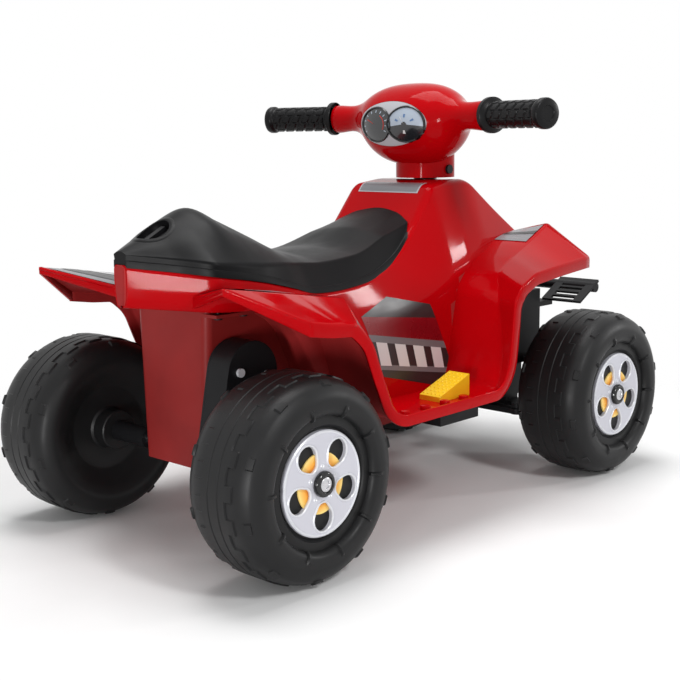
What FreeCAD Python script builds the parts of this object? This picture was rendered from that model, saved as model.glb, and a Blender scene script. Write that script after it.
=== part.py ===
import FreeCAD, Part
import math
import os
import re

import Sketcher
from FreeCAD import Matrix, Placement, Rotation, Vector

# Battery quad bike for a small child, in millimetres.
# +X is forward, +Y is left, +Z is up, and the origin is on the ground under the middle of the wheelbase.
# Heights of the body are measured from the axles, so the body rides up and down with the wheel radius.

SIZES = {
    # Cuts and fits that every piece shares
    "overrun": 2,
    "running_fit": 0.05,
    "seat_gap": 0.5,
    "panel_gap": 0.3,
    # Wheels
    "wheel_base": 472,
    "wheel_radius": 92,
    "tyre_width": 86,
    "wheel_inset": 106,
    "tyre_wall": 3.5,
    "tread_depth": 2,
    "tread_groove": 5,
    "vent_radius": 2.2,
    "hub_radius": 20,
    "hub_wall": 7,
    "hub_stick": 3.5,
    "rim_recess": 10.5,
    "rim_radius": 46.5,
    "rim_gap": 1.5,
    "rim_thickness": 4,
    "window_outer_radius": 11.2,
    "window_outer_place": 30.8,
    "window_inner_radius": 7.5,
    "window_inner_place": 23.9,
    "window_turn_angle": 18,
    "disc_radius": 27,
    "disc_thickness": 1.5,
    "cap_radius": 11.5,
    "cap_bore": 7.2,
    "cap_height": 5,
    # Axles
    "axle_radius": 5,
    "axle_tail": 8,
    "nut_radius": 6.6,
    "nut_height": 5,
    "wheel_float": 0.4,
    # Body shell, outline sizes of the share tables below
    "body_rise": 242,
    "fender_half_width": 177,
    "shell_wall": 3,
    "wing_wall": 3.5,
    "lip_height": 12,
    "deck_length": 150,
    "deck_width": 84,
    "deck_back": 140,
    # Lower hull
    "hull_overhang": 11,
    "hull_half_low": 46,
    "hull_half_high": 52,
    "hull_below": 14,
    "hull_above": 144,
    "hull_box_length": 119,
    "hull_corner": 8,
    "channel_above": 58,
    "channel_front": 80,
    "hull_wall": 3,
    "flange_width": 14,
    "flange_thickness": 3,
    "flange_length": 46,
    "body_screw_radius": 2,
    "body_screw_head": 4,
    "body_screw_length": 9,
    "body_screw_spread": 30,
    # Seat and its lock
    "seat_wall": 3,
    "seat_front_gap": 1.5,
    "lock_back": 39,
    "lock_drop": 18,
    "lock_slope_angle": 28,
    "lock_cup_radius": 19,
    "lock_recess_radius": 16,
    "lock_recess_depth": 11,
    "lock_cup_depth": 16,
    "lock_radius": 14,
    "lock_base": 3,
    "lock_grip_length": 24,
    "lock_grip_width": 6,
    "lock_grip_height": 7,
    "lock_stem_radius": 4,
    "lock_stem_length": 9,
    # Steering column and bars
    "column_forward": 123,
    "column_radius": 6,
    "column_top": 284,
    "crank_length": 35,
    "arm_width": 13,
    "arm_thickness": 6,
    "pin_radius": 3.5,
    "bush_wall": 3,
    "bush_length": 10,
    "bush_flange": 4,
    "bush_flange_height": 1,
    "neck_radius": 33,
    "neck_wall": 4,
    "neck_clearance": 0.5,
    "neck_hub_radius": 11,
    "clamp_bolt_radius": 2.5,
    "clamp_head_radius": 5,
    "clamp_head_height": 3,
    "clamp_above": 9,
    "pod_half_span": 111,
    "pod_back": 15,
    "pod_rise": 302,
    "pod_depth": 50,
    "pod_height": 45,
    "pod_wall": 3,
    "bar_back": 28,
    "bar_rise": 310,
    "bar_radius": 13.5,
    "dash_tilt_angle": 1,
    "dash_half_width": 47,
    "dash_half_height": 24,
    "gauge_radius": 19,
    "gauge_spread": 20.5,
    "gauge_height": 1.5,
    "grip_sweep_angle": 15,
    "grip_length": 91,
    "grip_radius": 14.2,
    "grip_bore": 10.5,
    "grip_flange_radius": 18.8,
    "grip_flange_height": 6,
    "grip_flange_slope": 2.4,
    "grip_end_radius": 15.5,
    "grip_end_height": 9,
    "grip_end_bevel": 2.5,
    # Front carrier, knuckles and steering link
    "kingpin_inset": 75,
    "kingpin_radius": 4,
    "kingpin_head": 6.5,
    "kingpin_head_height": 3,
    "knuckle_radius": 11,
    "knuckle_below": 25.5,
    "knuckle_above": 24,
    "spindle_radius": 10,
    "thrust_gap": 0.4,
    "ear_thickness": 6,
    "ear_radius": 13,
    "link_gap": 0.5,
    "link_thickness": 7,
    "link_width": 12,
    "link_eye_radius": 8,
    "carrier_half_width": 42,
    "carrier_length": 100,
    "carrier_above": 109,
    "carrier_lift": 4,
    "carrier_wall": 4,
    "post_length": 51,
    "post_width": 25.5,
    # Front bumper
    "bumper_reach": 95,
    "bumper_low": 93,
    "bumper_plate_length": 46,
    "bumper_plate_width": 54,
    "bumper_plate_inset": 50,
    "bumper_plate_thickness": 3,
    "bumper_slope_angle": 29,
    "bumper_slot_length": 32,
    "bumper_slot_width": 5.5,
    "bumper_slot_pitch": 9,
    "bumper_slot_shift": 4,
    "bumper_bar_radius": 6,
    "bumper_tongue_half_width": 60,
    "bumper_tongue_drop": 8,
    "bumper_foot_drop": 32,
    "bumper_screw_spread": 26,
    "bumper_screw_drop": 19,
    "bumper_screw_radius": 2,
    "bumper_screw_head": 4,
    "bumper_screw_length": 10,
    # Gearbox and motor
    "gear_lean_angle": 11,
    "gear_module": 1,
    "drive_module": 1.25,
    "gear_backlash": 0.3,
    "gear_width": 5.5,
    "gear_gap": 2,
    "gearbox_radius": 30,
    "gearbox_wall": 2.5,
    "gearbox_stand_off": 2,
    "gear_pin_radius": 2.5,
    "output_hub_radius": 14,
    "gearbox_screw_spread": 33,
    "gearbox_screw_head": 4,
    "gearbox_screw_height": 3,
    "motor_radius": 14,
    "motor_length": 40,
    "motor_shaft_radius": 1.6,
    "motor_boss_radius": 5,
    "motor_boss_height": 3,
    "motor_tail_radius": 3,
    # Battery and cables
    "battery_length": 70,
    "battery_width": 47,
    "battery_height": 100,
    "battery_forward": -65,
    "terminal_length": 6,
    "terminal_width": 5,
    "terminal_height": 7,
    "terminal_spread": 15,
    "cable_radius": 2.5,
    "cable_bend": 14,
    "cable_rise": 16,
    # Pedal
    "pedal_length": 48,
    "pedal_width": 26,
    "pedal_inset": 118,
    "pedal_back": 28,
    "pedal_toe": 22,
    "pedal_heel": 5,
    "pedal_gap": 1.5,
    "pedal_foot": 4,
    "pedal_pin_radius": 2,
    "pedal_pin_drop": 3.5,
    "pedal_pin_ahead": 6,
    "housing_wall": 2.5,
    "housing_depth": 19,
    "housing_margin": 4,
    "switch_length": 13,
    "switch_width": 6,
    "switch_height": 6,
    "switch_ahead": 14,
    "plunger_radius": 1.3,
    "spring_radius": 4.5,
    "spring_wire": 0.6,
    "spring_ahead": 32,
}

# Counts
TREAD_COUNT = 20
WINDOW_COUNT = 5
GEAR_TEETH = 40
PINION_TEETH = 10
SPRING_TURNS = 5
SLOT_COUNT = 4
FLANK_STEPS = 4

# Proportions of an involute tooth, in modules and degrees
PRESSURE_ANGLE = 25
ADDENDUM_SHARE = 0.8
DEDENDUM_SHARE = 1.0

# Tyre section: radius and half width of a point on the skin, then how the cavity lies from it in walls
TYRE_SHARES = (
    (0.44, -0.66, 0.3, 1.0),
    (0.68, -0.93, 0.2, 1.1),
    (0.78, -1.00, 0.0, 1.1),
    (0.87, -0.95, -0.3, 1.0),
    (0.95, -0.81, -0.8, 0.8),
    (0.99, -0.60, -1.0, 0.4),
    (1.00, -0.37, -1.0, 0.0),
    (1.00, 0.37, -1.0, 0.0),
    (0.99, 0.60, -1.0, -0.4),
    (0.95, 0.81, -0.8, -0.8),
    (0.87, 0.94, -0.3, -1.0),
    (0.78, 1.00, 0.0, -1.1),
    (0.70, 0.99, 0.1, -1.1),
    (0.65, 0.93, 0.2, -1.1),
    (0.63, 0.84, 0.2, -1.1),
)

# Tread: where the grooves across the shoulders start and end, in half widths of the tyre
GROOVE_SHARES = (0.25, 0.75)

# Hub cap section: radius and height of each corner of its dome
CAP_SHARES = ((1, 0), (1, 0.45), (0.93, 0.8), (0.8, 1))

# Body spine: station along half the wheelbase, then the half section from the keel to the top edge,
# across in fender half widths and up from the axle in body rises
SPINE_SHARES = (
    (-1.275, (0.034, 0.583), (0.048, 0.612), (0.054, 0.678), (0.054, 0.729), (0.040, 0.742)),
    (-1.153, (0.215, 0.572), (0.237, 0.595), (0.246, 0.657), (0.240, 0.711), (0.215, 0.723)),
    (-1.047, (0.373, 0.562), (0.404, 0.587), (0.418, 0.640), (0.412, 0.692), (0.384, 0.705)),
    (-0.953, (0.407, 0.558), (0.435, 0.583), (0.446, 0.628), (0.438, 0.678), (0.407, 0.690)),
    (-0.847, (0.424, 0.554), (0.449, 0.579), (0.460, 0.618), (0.452, 0.659), (0.418, 0.671)),
    (-0.699, (0.441, 0.479), (0.463, 0.529), (0.472, 0.585), (0.460, 0.624), (0.424, 0.636)),
    (-0.572, (0.486, 0.231), (0.494, 0.322), (0.483, 0.504), (0.458, 0.591), (0.418, 0.605)),
    (-0.458, (0.531, 0.103), (0.528, 0.174), (0.492, 0.446), (0.449, 0.587), (0.412, 0.601)),
    (-0.254, (0.531, 0.103), (0.528, 0.174), (0.486, 0.455), (0.424, 0.599), (0.390, 0.614)),
    (-0.034, (0.531, 0.103), (0.528, 0.174), (0.486, 0.471), (0.373, 0.661), (0.339, 0.676)),
    (0.110, (0.531, 0.103), (0.528, 0.174), (0.486, 0.508), (0.339, 0.760), (0.311, 0.773)),
    (0.275, (0.525, 0.103), (0.525, 0.190), (0.489, 0.584), (0.328, 0.962), (0.294, 0.982)),
    (0.424, (0.452, 0.198), (0.492, 0.302), (0.477, 0.636), (0.316, 0.986), (0.282, 1.000)),
    (0.572, (0.373, 0.364), (0.446, 0.421), (0.446, 0.661), (0.294, 0.988), (0.260, 1.000)),
    (0.784, (0.311, 0.459), (0.379, 0.492), (0.379, 0.669), (0.288, 0.847), (0.260, 0.860)),
    (1.008, (0.271, 0.496), (0.322, 0.517), (0.328, 0.636), (0.282, 0.713), (0.249, 0.727)),
    (1.068, (0.226, 0.521), (0.266, 0.537), (0.266, 0.616), (0.243, 0.669), (0.215, 0.682)),
)

# Seat: shoulder, crown and ridge of the half section at each of the spine's first stations
SEAT_SHARES = (
    ((0.051, 0.781), (0.028, 0.789), (0, 0.793)),
    ((0.237, 0.764), (0.113, 0.822), (0, 0.845)),
    ((0.407, 0.746), (0.158, 0.864), (0, 0.899)),
    ((0.424, 0.736), (0.169, 0.893), (0, 0.936)),
    ((0.424, 0.727), (0.192, 0.847), (0, 0.893)),
    ((0.395, 0.719), (0.203, 0.789), (0, 0.826)),
    ((0.356, 0.709), (0.198, 0.742), (0, 0.764)),
    ((0.347, 0.702), (0.192, 0.723), (0, 0.736)),
    ((0.339, 0.715), (0.186, 0.729), (0, 0.738)),
    ((0.299, 0.777), (0.169, 0.795), (0, 0.806)),
    ((0.282, 0.826), (0.158, 0.864), (0, 0.880)),
)

# Fender, footboard and front fender as one sheet: the lip's foot, the crease and the root at each station,
# then the angle of the sheet's upper side in the XZ plane, in degrees
WING_SHARES = (
    ((-1.008, 0.994, 0.517), (-1.267, 0.768, 0.698), (-1.110, 0.288, 0.624), 90),
    ((-0.898, 1.000, 0.500), (-1.059, 0.723, 0.665), (-0.941, 0.412, 0.640), 90),
    ((-0.846, 1.000, 0.496), (-0.826, 0.688, 0.628), (-0.805, 0.435, 0.624), 85),
    ((-0.795, 1.000, 0.492), (-0.550, 0.638, 0.585), (-0.620, 0.441, 0.600), 60),
    ((-0.725, 1.000, 0.435), (-0.567, 0.722, 0.497), (-0.601, 0.450, 0.538), 30),
    ((-0.684, 1.000, 0.336), (-0.593, 0.847, 0.364), (-0.572, 0.463, 0.446), 22),
    ((-0.606, 1.000, 0.160), (-0.517, 0.915, 0.174), (-0.500, 0.486, 0.198), 35),
    ((-0.517, 1.000, 0.107), (-0.458, 0.921, 0.120), (-0.458, 0.508, 0.120), 80),
    ((0.119, 1.000, 0.112), (0.119, 0.921, 0.120), (0.119, 0.508, 0.120), 95),
    ((0.182, 1.000, 0.153), (0.174, 0.921, 0.145), (0.174, 0.508, 0.145), 130),
    ((0.229, 1.000, 0.223), (0.212, 0.915, 0.223), (0.212, 0.508, 0.223), 160),
    ((0.250, 1.000, 0.347), (0.237, 0.893, 0.355), (0.246, 0.492, 0.355), 178),
    ((0.263, 1.000, 0.488), (0.280, 0.825, 0.504), (0.305, 0.475, 0.537), 165),
    ((0.309, 0.994, 0.533), (0.390, 0.712, 0.603), (0.381, 0.446, 0.603), 130),
    ((0.411, 0.977, 0.566), (0.551, 0.650, 0.653), (0.508, 0.412, 0.661), 105),
    ((0.657, 0.932, 0.579), (0.763, 0.599, 0.719), (0.720, 0.339, 0.727), 95),
    ((0.958, 0.864, 0.587), (0.928, 0.571, 0.785), (0.941, 0.271, 0.736), 90),
)
FLOOR_SHARE = 0.120

# Handlebar pod: place along its half span, and how far the section has shrunk from the pod to the bar
POD_SHARES = ((0, 0), (0.27, 0.10), (0.46, 0.42), (0.60, 0.80), (0.76, 0.97), (1, 1))

# Places that several pieces share, as expressions on the sheet
AXLE = "wheel_radius"
REAR = "(-wheel_base / 2)"
FRONT = "(wheel_base / 2)"
HALF_TYRE = "(tyre_width / 2)"
WHEEL_MID = "(wheel_inset + tyre_width / 2)"
RIM_SEAT = "(wheel_inset + tyre_width - rim_recess)"
HUB_END = "(wheel_inset - hub_stick)"
FLOOR = f"(wheel_radius + {FLOOR_SHARE} * body_rise)"
HULL_BOTTOM = "(wheel_radius - hull_below)"
ARM_BOTTOM = "(wheel_radius - knuckle_below)"
LINK_TOP = "(wheel_radius - knuckle_below - link_gap)"
TANK_TOP = "(wheel_radius + body_rise)"
ARM_PIN = "(wheel_base / 2 - crank_length)"
CRANK_PIN = "(column_forward - crank_length)"
GEARBOX_INNER = "(hull_half_high + gearbox_stand_off)"
GEAR_STEP = f"(gear_module * {GEAR_TEETH + PINION_TEETH} / 2)"
DRIVE_STEP = f"(drive_module * {GEAR_TEETH + PINION_TEETH} / 2)"
SHAFT_B = DRIVE_STEP
SHAFT_A = f"({DRIVE_STEP} + {GEAR_STEP})"
SHAFT_MOTOR = f"({DRIVE_STEP} + 2 * {GEAR_STEP})"
GEAR_PLANES = tuple(
    f"({GEARBOX_INNER} + gearbox_wall + gear_gap + {index} * (gear_width + gear_gap))" for index in range(3)
)
GEARBOX_OUTER = f"({GEAR_PLANES[2]} + gear_width + gear_gap + gearbox_wall)"
PEDAL_HEEL = "(-pedal_back)"
PEDAL_PIN_X = "(-pedal_back + pedal_pin_ahead)"
PEDAL_PIN_Z = f"({FLOOR} - wing_wall - pedal_pin_drop)"
PEDAL_MID = "(-pedal_inset - pedal_width / 2)"
HOUSING_BOTTOM = f"({FLOOR} - wing_wall - housing_depth)"

ALONG = {
    "X": Rotation(Vector(0, 1, 0), 90),
    "Y": Rotation(Vector(1, 0, 0), -90),
    "-Y": Rotation(Vector(1, 0, 0), 90),
    "Z": Rotation(),
}
SIDES = {"left": 1, "right": -1}

doc = FreeCAD.newDocument("kids_quad_bike")
sheet = doc.addObject("Spreadsheet::Sheet", "Sizes")
for row, (alias, number) in enumerate(SIZES.items(), 1):
    sheet.set(f"A{row}", alias)
    sheet.set(f"B{row}", str(number))
    sheet.setAlias(f"B{row}", alias)
doc.recompute()

pieces = []


def bound(text):
    """The expression with its words turned into the sheet's cells."""
    return re.sub(r"[A-Za-z_]\w*", r"Sizes.\g<0>", text)


def value(text):
    """What an expression on the sheet comes to now."""
    return float(sheet.evalExpression(bound(text)))


def bind(feature, **sizes):
    for name, text in sizes.items():
        feature.setExpression(name, bound(text))
    return feature


def place(feature, x="0", y="0", z="0", rotation=Rotation()):
    """Turns a feature and binds its origin to the sheet."""
    feature.Placement = Placement(Vector(), rotation)
    for axis, text in zip("xyz", (x, y, z)):
        feature.setExpression(f"Placement.Base.{axis}", bound(text))
    return feature


def keep(name, feature):
    """Marks a feature as one of the finished pieces."""
    feature.Label = name
    pieces.append(feature)
    return feature


# Part primitives and booleans


def cylinder(radius, length, x="0", y="0", z="0", along="Z"):
    feature = bind(doc.addObject("Part::Cylinder", "cylinder"), Radius=radius, Height=length)
    return place(feature, x, y, z, ALONG[along])


def box(x, y, z):
    """A box between pairs of expressions along each axis."""
    feature = doc.addObject("Part::Box", "box")
    for name, (low, high) in zip(("Length", "Width", "Height"), (x, y, z)):
        feature.setExpression(name, bound(f"({high}) - ({low})"))
    return place(feature, x[0], y[0], z[0])


def tapered_box(x, low_half, high_half, z):
    """A box about the XZ plane whose half width changes with height."""
    feature = doc.addObject("Part::Wedge", "tapered_box")
    bind(feature, Xmin=x[0], Xmax=x[1], X2min=x[0], X2max=x[1], Ymin=z[0], Ymax=z[1])
    bind(feature, Zmin=f"-({low_half})", Zmax=low_half, Z2min=f"-({high_half})", Z2max=high_half)
    return place(feature, rotation=ALONG["-Y"])


def joined(*features):
    feature = doc.addObject("Part::MultiFuse", "joined")
    feature.Shapes = list(features)
    return feature


def cut(base, *tools):
    feature = doc.addObject("Part::Cut", "cut")
    feature.Base = base
    feature.Tool = tools[0] if len(tools) == 1 else joined(*tools)
    return feature


def group(*features):
    """Separate solids that share one node."""
    feature = doc.addObject("Part::Compound", "group")
    feature.Links = list(features)
    return feature


def shaped(shape):
    """A feature whose shape comes from the functions below."""
    feature = doc.addObject("Part::Feature", "shaped")
    feature.Shape = shape
    return feature


def tube(outer, inner, length, x="0", y="0", z="0", along="Z"):
    return cut(cylinder(outer, length, x, y, z, along), cylinder(inner, length, x, y, z, along))


# PartDesign bodies


def new_body(name):
    return keep(name, doc.addObject("PartDesign::Body", name))


def new_sketch(body, plane, lift="0"):
    sketch = body.newObject("Sketcher::SketchObject", "sketch")
    support = [feature for feature in body.Origin.OriginFeatures if feature.Role == plane][0]
    sketch.AttachmentSupport = (support, [""])
    sketch.MapMode = "FlatFace"
    sketch.setExpression("AttachmentOffset.Base.z", bound(lift))
    return sketch


def fix(sketch, kind, *arguments):
    """A dimension whose last argument is an expression on the sheet."""
    index = sketch.addConstraint(Sketcher.Constraint(kind, *arguments[:-1], value(arguments[-1])))
    sketch.setExpression(f"Constraints[{index}]", bound(arguments[-1]))


def polygon(sketch, points):
    """A closed outline with every corner held by its two distances from the origin."""
    first = sketch.GeometryCount
    corners = [Vector(value(across), value(up), 0) for across, up in points]
    count = len(corners)
    for index, corner in enumerate(corners):
        sketch.addGeometry(Part.LineSegment(corner, corners[(index + 1) % count]), False)
    for index, (across, up) in enumerate(points):
        line = first + index
        sketch.addConstraint(Sketcher.Constraint("Coincident", line, 2, first + (index + 1) % count, 1))
        fix(sketch, "DistanceX", -1, 1, line, 1, across)
        fix(sketch, "DistanceY", -1, 1, line, 1, up)


def circle(sketch, radius, across="0", up="0"):
    centre = Vector(value(across), value(up), 0)
    index = sketch.addGeometry(Part.Circle(centre, Vector(0, 0, 1), value(radius)), False)
    fix(sketch, "Radius", index, radius)
    fix(sketch, "DistanceX", -1, 1, index, 3, across)
    fix(sketch, "DistanceY", -1, 1, index, 3, up)


def add_feature(body, kind, sketch, **sizes):
    feature = body.newObject(f"PartDesign::{kind}", kind.lower())
    feature.Profile = sketch
    bind(feature, **sizes)
    doc.recompute()
    return feature


def pad(body, sketch, length):
    return add_feature(body, "Pad", sketch, Length=length)


def pocket(body, sketch, length, forward=False, symmetric=False):
    """A cut behind the sketch, ahead of it, or both ways alike."""
    before = body.Shape.Volume
    feature = add_feature(body, "Pocket", sketch, Length=length)
    feature.Reversed = forward
    if symmetric:
        feature.SideType = "Symmetric"
    doc.recompute()
    assert body.Shape.Volume < before, f"{body.Label}: a pocket cuts nothing"
    return feature


def turned(body, sketch, kind="Revolution"):
    feature = add_feature(body, kind, sketch)
    feature.ReferenceAxis = (sketch, ["V_Axis"])
    feature.Angle = 360
    doc.recompute()
    return feature


def polar(body, feature, axis, count):
    """Copies of a cut round one of a sketch's axes."""
    pattern = body.newObject("PartDesign::PolarPattern", "pattern")
    pattern.Originals = [feature]
    pattern.Axis = axis
    pattern.Angle = 360
    pattern.Occurrences = count
    body.Tip = pattern
    doc.recompute()


# Wheels


def tyre(name, x, side):
    """Blow-moulded wheel: a hollow tyre with a dished outer face, a hub and grooves across its shoulders."""
    body = new_body(f"tyre_{name}")
    bore = "axle_radius + running_fit"
    skin = [
        (f"{radius} * wheel_radius", f"{width} * {HALF_TYRE}") for radius, width, _, _ in TYRE_SHARES
    ]
    inner_dish = f"{TYRE_SHARES[0][1]} * {HALF_TYRE}"
    seat = f"{HALF_TYRE} - rim_recess"
    outline = [
        (bore, f"-{HALF_TYRE} - hub_stick"),
        ("hub_radius", f"-{HALF_TYRE} - hub_stick"),
        ("hub_radius", inner_dish),
        *skin,
        ("rim_radius + rim_gap", seat),
        (bore, seat),
    ]
    profile = new_sketch(body, "XZ_Plane")
    polygon(profile, outline)
    turned(body, profile)

    cavity = new_sketch(body, "XZ_Plane")
    hollow = [
        (f"{radius} * wheel_radius + {inward} * tyre_wall", f"{width} * {HALF_TYRE} + {across} * tyre_wall")
        for radius, width, inward, across in TYRE_SHARES
    ]
    polygon(
        cavity,
        [
            (f"{bore} + hub_wall", f"{seat} - tyre_wall"),
            (f"{bore} + hub_wall", f"{inner_dish} + tyre_wall"),
            *hollow,
            ("rim_radius + rim_gap", f"{seat} - tyre_wall"),
        ],
    )
    before = body.Shape.Volume
    turned(body, cavity, "Groove")
    assert body.Shape.Volume < before, "the tyre is not hollow"

    vent = new_sketch(body, "XY_Plane")
    circle(vent, "vent_radius", f"{TYRE_SHARES[2][0]} * wheel_radius")
    pocket(body, vent, f"{HALF_TYRE} + overrun")

    groove = new_sketch(body, "XZ_Plane")
    for way in (1, -1):
        near, far = sorted(way * share for share in GROOVE_SHARES)
        polygon(
            groove,
            [
                ("wheel_radius - tread_depth", f"{near} * {HALF_TYRE}"),
                ("wheel_radius + overrun", f"{near} * {HALF_TYRE}"),
                ("wheel_radius + overrun", f"{far} * {HALF_TYRE}"),
                ("wheel_radius - tread_depth", f"{far} * {HALF_TYRE}"),
            ],
        )
    notch = pocket(body, groove, "tread_groove", symmetric=True)
    polar(body, notch, (profile, ["V_Axis"]), TREAD_COUNT)
    place_on_wheel(body, x, side)


def place_on_wheel(feature, x, side, turn=0):
    """Puts a piece drawn about a wheel's middle, +Z outward, on its axle, turned about it by an angle."""
    outward = ALONG["Y" if side > 0 else "-Y"]
    place(feature, x, f"{side} * {WHEEL_MID}", AXLE, outward.multiply(Rotation(Vector(0, 0, 1), turn)))


def teardrop(sketch):
    """A rim window: a large and a small arc joined by their outer tangents, along +X."""
    centres = ("window_outer_place", "window_inner_place")
    radii = ("window_outer_radius", "window_inner_radius")
    slant = math.acos((value(radii[1]) - value(radii[0])) / (value(centres[0]) - value(centres[1])))
    spans = ((-slant, slant), (slant, 2 * math.pi - slant))
    ends = []
    for centre, radius, span in zip(centres, radii, spans):
        ring = Part.Circle(Vector(value(centre), 0, 0), Vector(0, 0, 1), value(radius))
        arc = Part.ArcOfCircle(ring, *span)
        ends.append((arc.StartPoint, arc.EndPoint))
        index = sketch.addGeometry(arc, False)
        fix(sketch, "Radius", index, radius)
        fix(sketch, "DistanceX", -1, 1, index, 3, centre)
        sketch.addConstraint(Sketcher.Constraint("PointOnObject", index, 3, -1))
    upper = sketch.addGeometry(Part.LineSegment(ends[0][1], ends[1][0]), False)
    lower = sketch.addGeometry(Part.LineSegment(ends[1][1], ends[0][0]), False)
    for before, after in ((0, upper), (upper, 1), (1, lower), (lower, 0)):
        sketch.addConstraint(Sketcher.Constraint("Tangent", before, 2, after, 1))


def rim_trim(name, x, side):
    """Silver trim disc with windows, a hole for the axle nut and a shallow back for the coloured disc."""
    body = new_body(f"rim_trim_{name}")
    seat = f"{HALF_TYRE} - rim_recess"
    plate = new_sketch(body, "XY_Plane", seat)
    circle(plate, "rim_radius")
    circle(plate, "cap_bore")
    pad(body, plate, "rim_thickness")
    back = new_sketch(body, "XY_Plane", seat)
    circle(back, "disc_radius + panel_gap")
    pocket(body, back, "disc_thickness + panel_gap", forward=True)
    window = new_sketch(body, "XY_Plane", seat)
    teardrop(window)
    opening = pocket(body, window, "rim_thickness + overrun", forward=True)
    polar(body, opening, (plate, ["N_Axis"]), WINDOW_COUNT)
    place_on_wheel(body, x, side, side * value("window_turn_angle"))


def hub_cap(name, x, side):
    """Domed ring round the axle nut."""
    body = new_body(f"hub_cap_{name}")
    base = f"{HALF_TYRE} - rim_recess + rim_thickness"
    profile = new_sketch(body, "XZ_Plane")
    dome = [(f"{radius} * cap_radius", f"{base} + {height} * cap_height") for radius, height in CAP_SHARES]
    polygon(profile, [("cap_bore", base), *dome, ("cap_bore", f"{base} + cap_height")])
    turned(body, profile)
    place_on_wheel(body, x, side)


def brake_disc(name, x, side):
    outward = "Y" if side > 0 else "-Y"
    disc = tube("disc_radius", "cap_bore", "disc_thickness", x, f"{side} * {RIM_SEAT}", AXLE, outward)
    keep(f"brake_disc_{name}", disc)


for end, wheel_x in (("front", FRONT), ("rear", REAR)):
    for hand, sign in SIDES.items():
        for make in (tyre, rim_trim, brake_disc, hub_cap):
            make(f"{end}_{hand}", wheel_x, sign)


# Rear axle: a fixed steel rod with a nut at each end and a spacer on the side without the gearbox

AXLE_END = f"({RIM_SEAT} + axle_tail)"
keep("rear_axle", cylinder("axle_radius", f"2 * {AXLE_END}", REAR, f"-{AXLE_END}", AXLE, "Y"))


def axle_nut(side):
    seat = f"{side} * ({RIM_SEAT} + wheel_float)"
    bore = "axle_radius + running_fit"
    return tube("nut_radius", bore, "nut_height", REAR, seat, AXLE, "Y" if side > 0 else "-Y")


keep("rear_axle_nuts", group(*(axle_nut(sign) for sign in SIDES.values())))
SPACER_LENGTH = f"{HUB_END} - wheel_float - hull_half_high"
keep(
    "axle_spacer",
    tube("2 * axle_radius", "axle_radius + running_fit", SPACER_LENGTH, REAR, "hull_half_high", AXLE, "Y"),
)


# Gearbox on the right of the hull, drawn upright about the axle and then leaned forward


def lean(feature):
    tilt = Rotation(Vector(0, 1, 0), value("gear_lean_angle"))
    place(feature, REAR, "0", AXLE, tilt)
    feature.setExpression("Placement.Rotation.Angle", bound("gear_lean_angle"))
    return feature


def obround(radius, start, length):
    """A round-ended block from the axle up to the motor shaft, along -Y."""
    bottom = cylinder(radius, length, "0", f"-({start})", "0", "-Y")
    top = cylinder(radius, length, "0", f"-({start})", SHAFT_MOTOR, "-Y")
    middle = box((f"-({radius})", radius), (f"-({start}) - ({length})", f"-({start})"), ("0", SHAFT_MOTOR))
    return joined(bottom, top, middle)


def rod(radius, start, length, height):
    return cylinder(radius, length, "0", f"-({start})", height, "-Y")


CUP_DEPTH = f"{GEARBOX_OUTER} - {GEARBOX_INNER} - gearbox_wall"
PLATE_END = f"({GEARBOX_INNER} + gearbox_wall)"
PIN_REACH = f"{GEARBOX_OUTER} - {GEARBOX_INNER}"

inner_plate = cut(
    obround("gearbox_radius", GEARBOX_INNER, "gearbox_wall"),
    rod("axle_radius + running_fit", GEARBOX_INNER, "gearbox_wall", "0"),
    rod("motor_boss_radius + running_fit", GEARBOX_INNER, "gearbox_wall", SHAFT_MOTOR),
    rod("gear_pin_radius + running_fit", GEARBOX_INNER, "gearbox_wall", SHAFT_A),
    rod("gear_pin_radius + running_fit", GEARBOX_INNER, "gearbox_wall", SHAFT_B),
)
keep("gearbox_inner", lean(inner_plate))

outer_cup = cut(
    obround("gearbox_radius", PLATE_END, CUP_DEPTH),
    obround("gearbox_radius - gearbox_wall", PLATE_END, f"{CUP_DEPTH} - gearbox_wall"),
    rod("output_hub_radius + panel_gap", PLATE_END, f"{CUP_DEPTH} + overrun", "0"),
    rod("gear_pin_radius + running_fit", PLATE_END, f"{CUP_DEPTH} + overrun", SHAFT_A),
    rod("gear_pin_radius + running_fit", PLATE_END, f"{CUP_DEPTH} + overrun", SHAFT_B),
)
keep("gearbox_outer", lean(outer_cup))

pins = group(*(rod("gear_pin_radius", GEARBOX_INNER, PIN_REACH, height) for height in (SHAFT_A, SHAFT_B)))
keep("gear_pins", lean(pins))


def gearbox_screw(way):
    """A pan-head screw on the gearbox's outer face, beside the motor shaft."""
    across = f"{way} * gearbox_screw_spread / 2"
    face = f"-{GEARBOX_OUTER}"
    return cylinder("gearbox_screw_head", "gearbox_screw_height", across, face, SHAFT_MOTOR, "-Y")


keep("gearbox_screws", lean(group(gearbox_screw(1), gearbox_screw(-1))))


def involute(angle):
    return math.tan(angle) - angle


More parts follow.
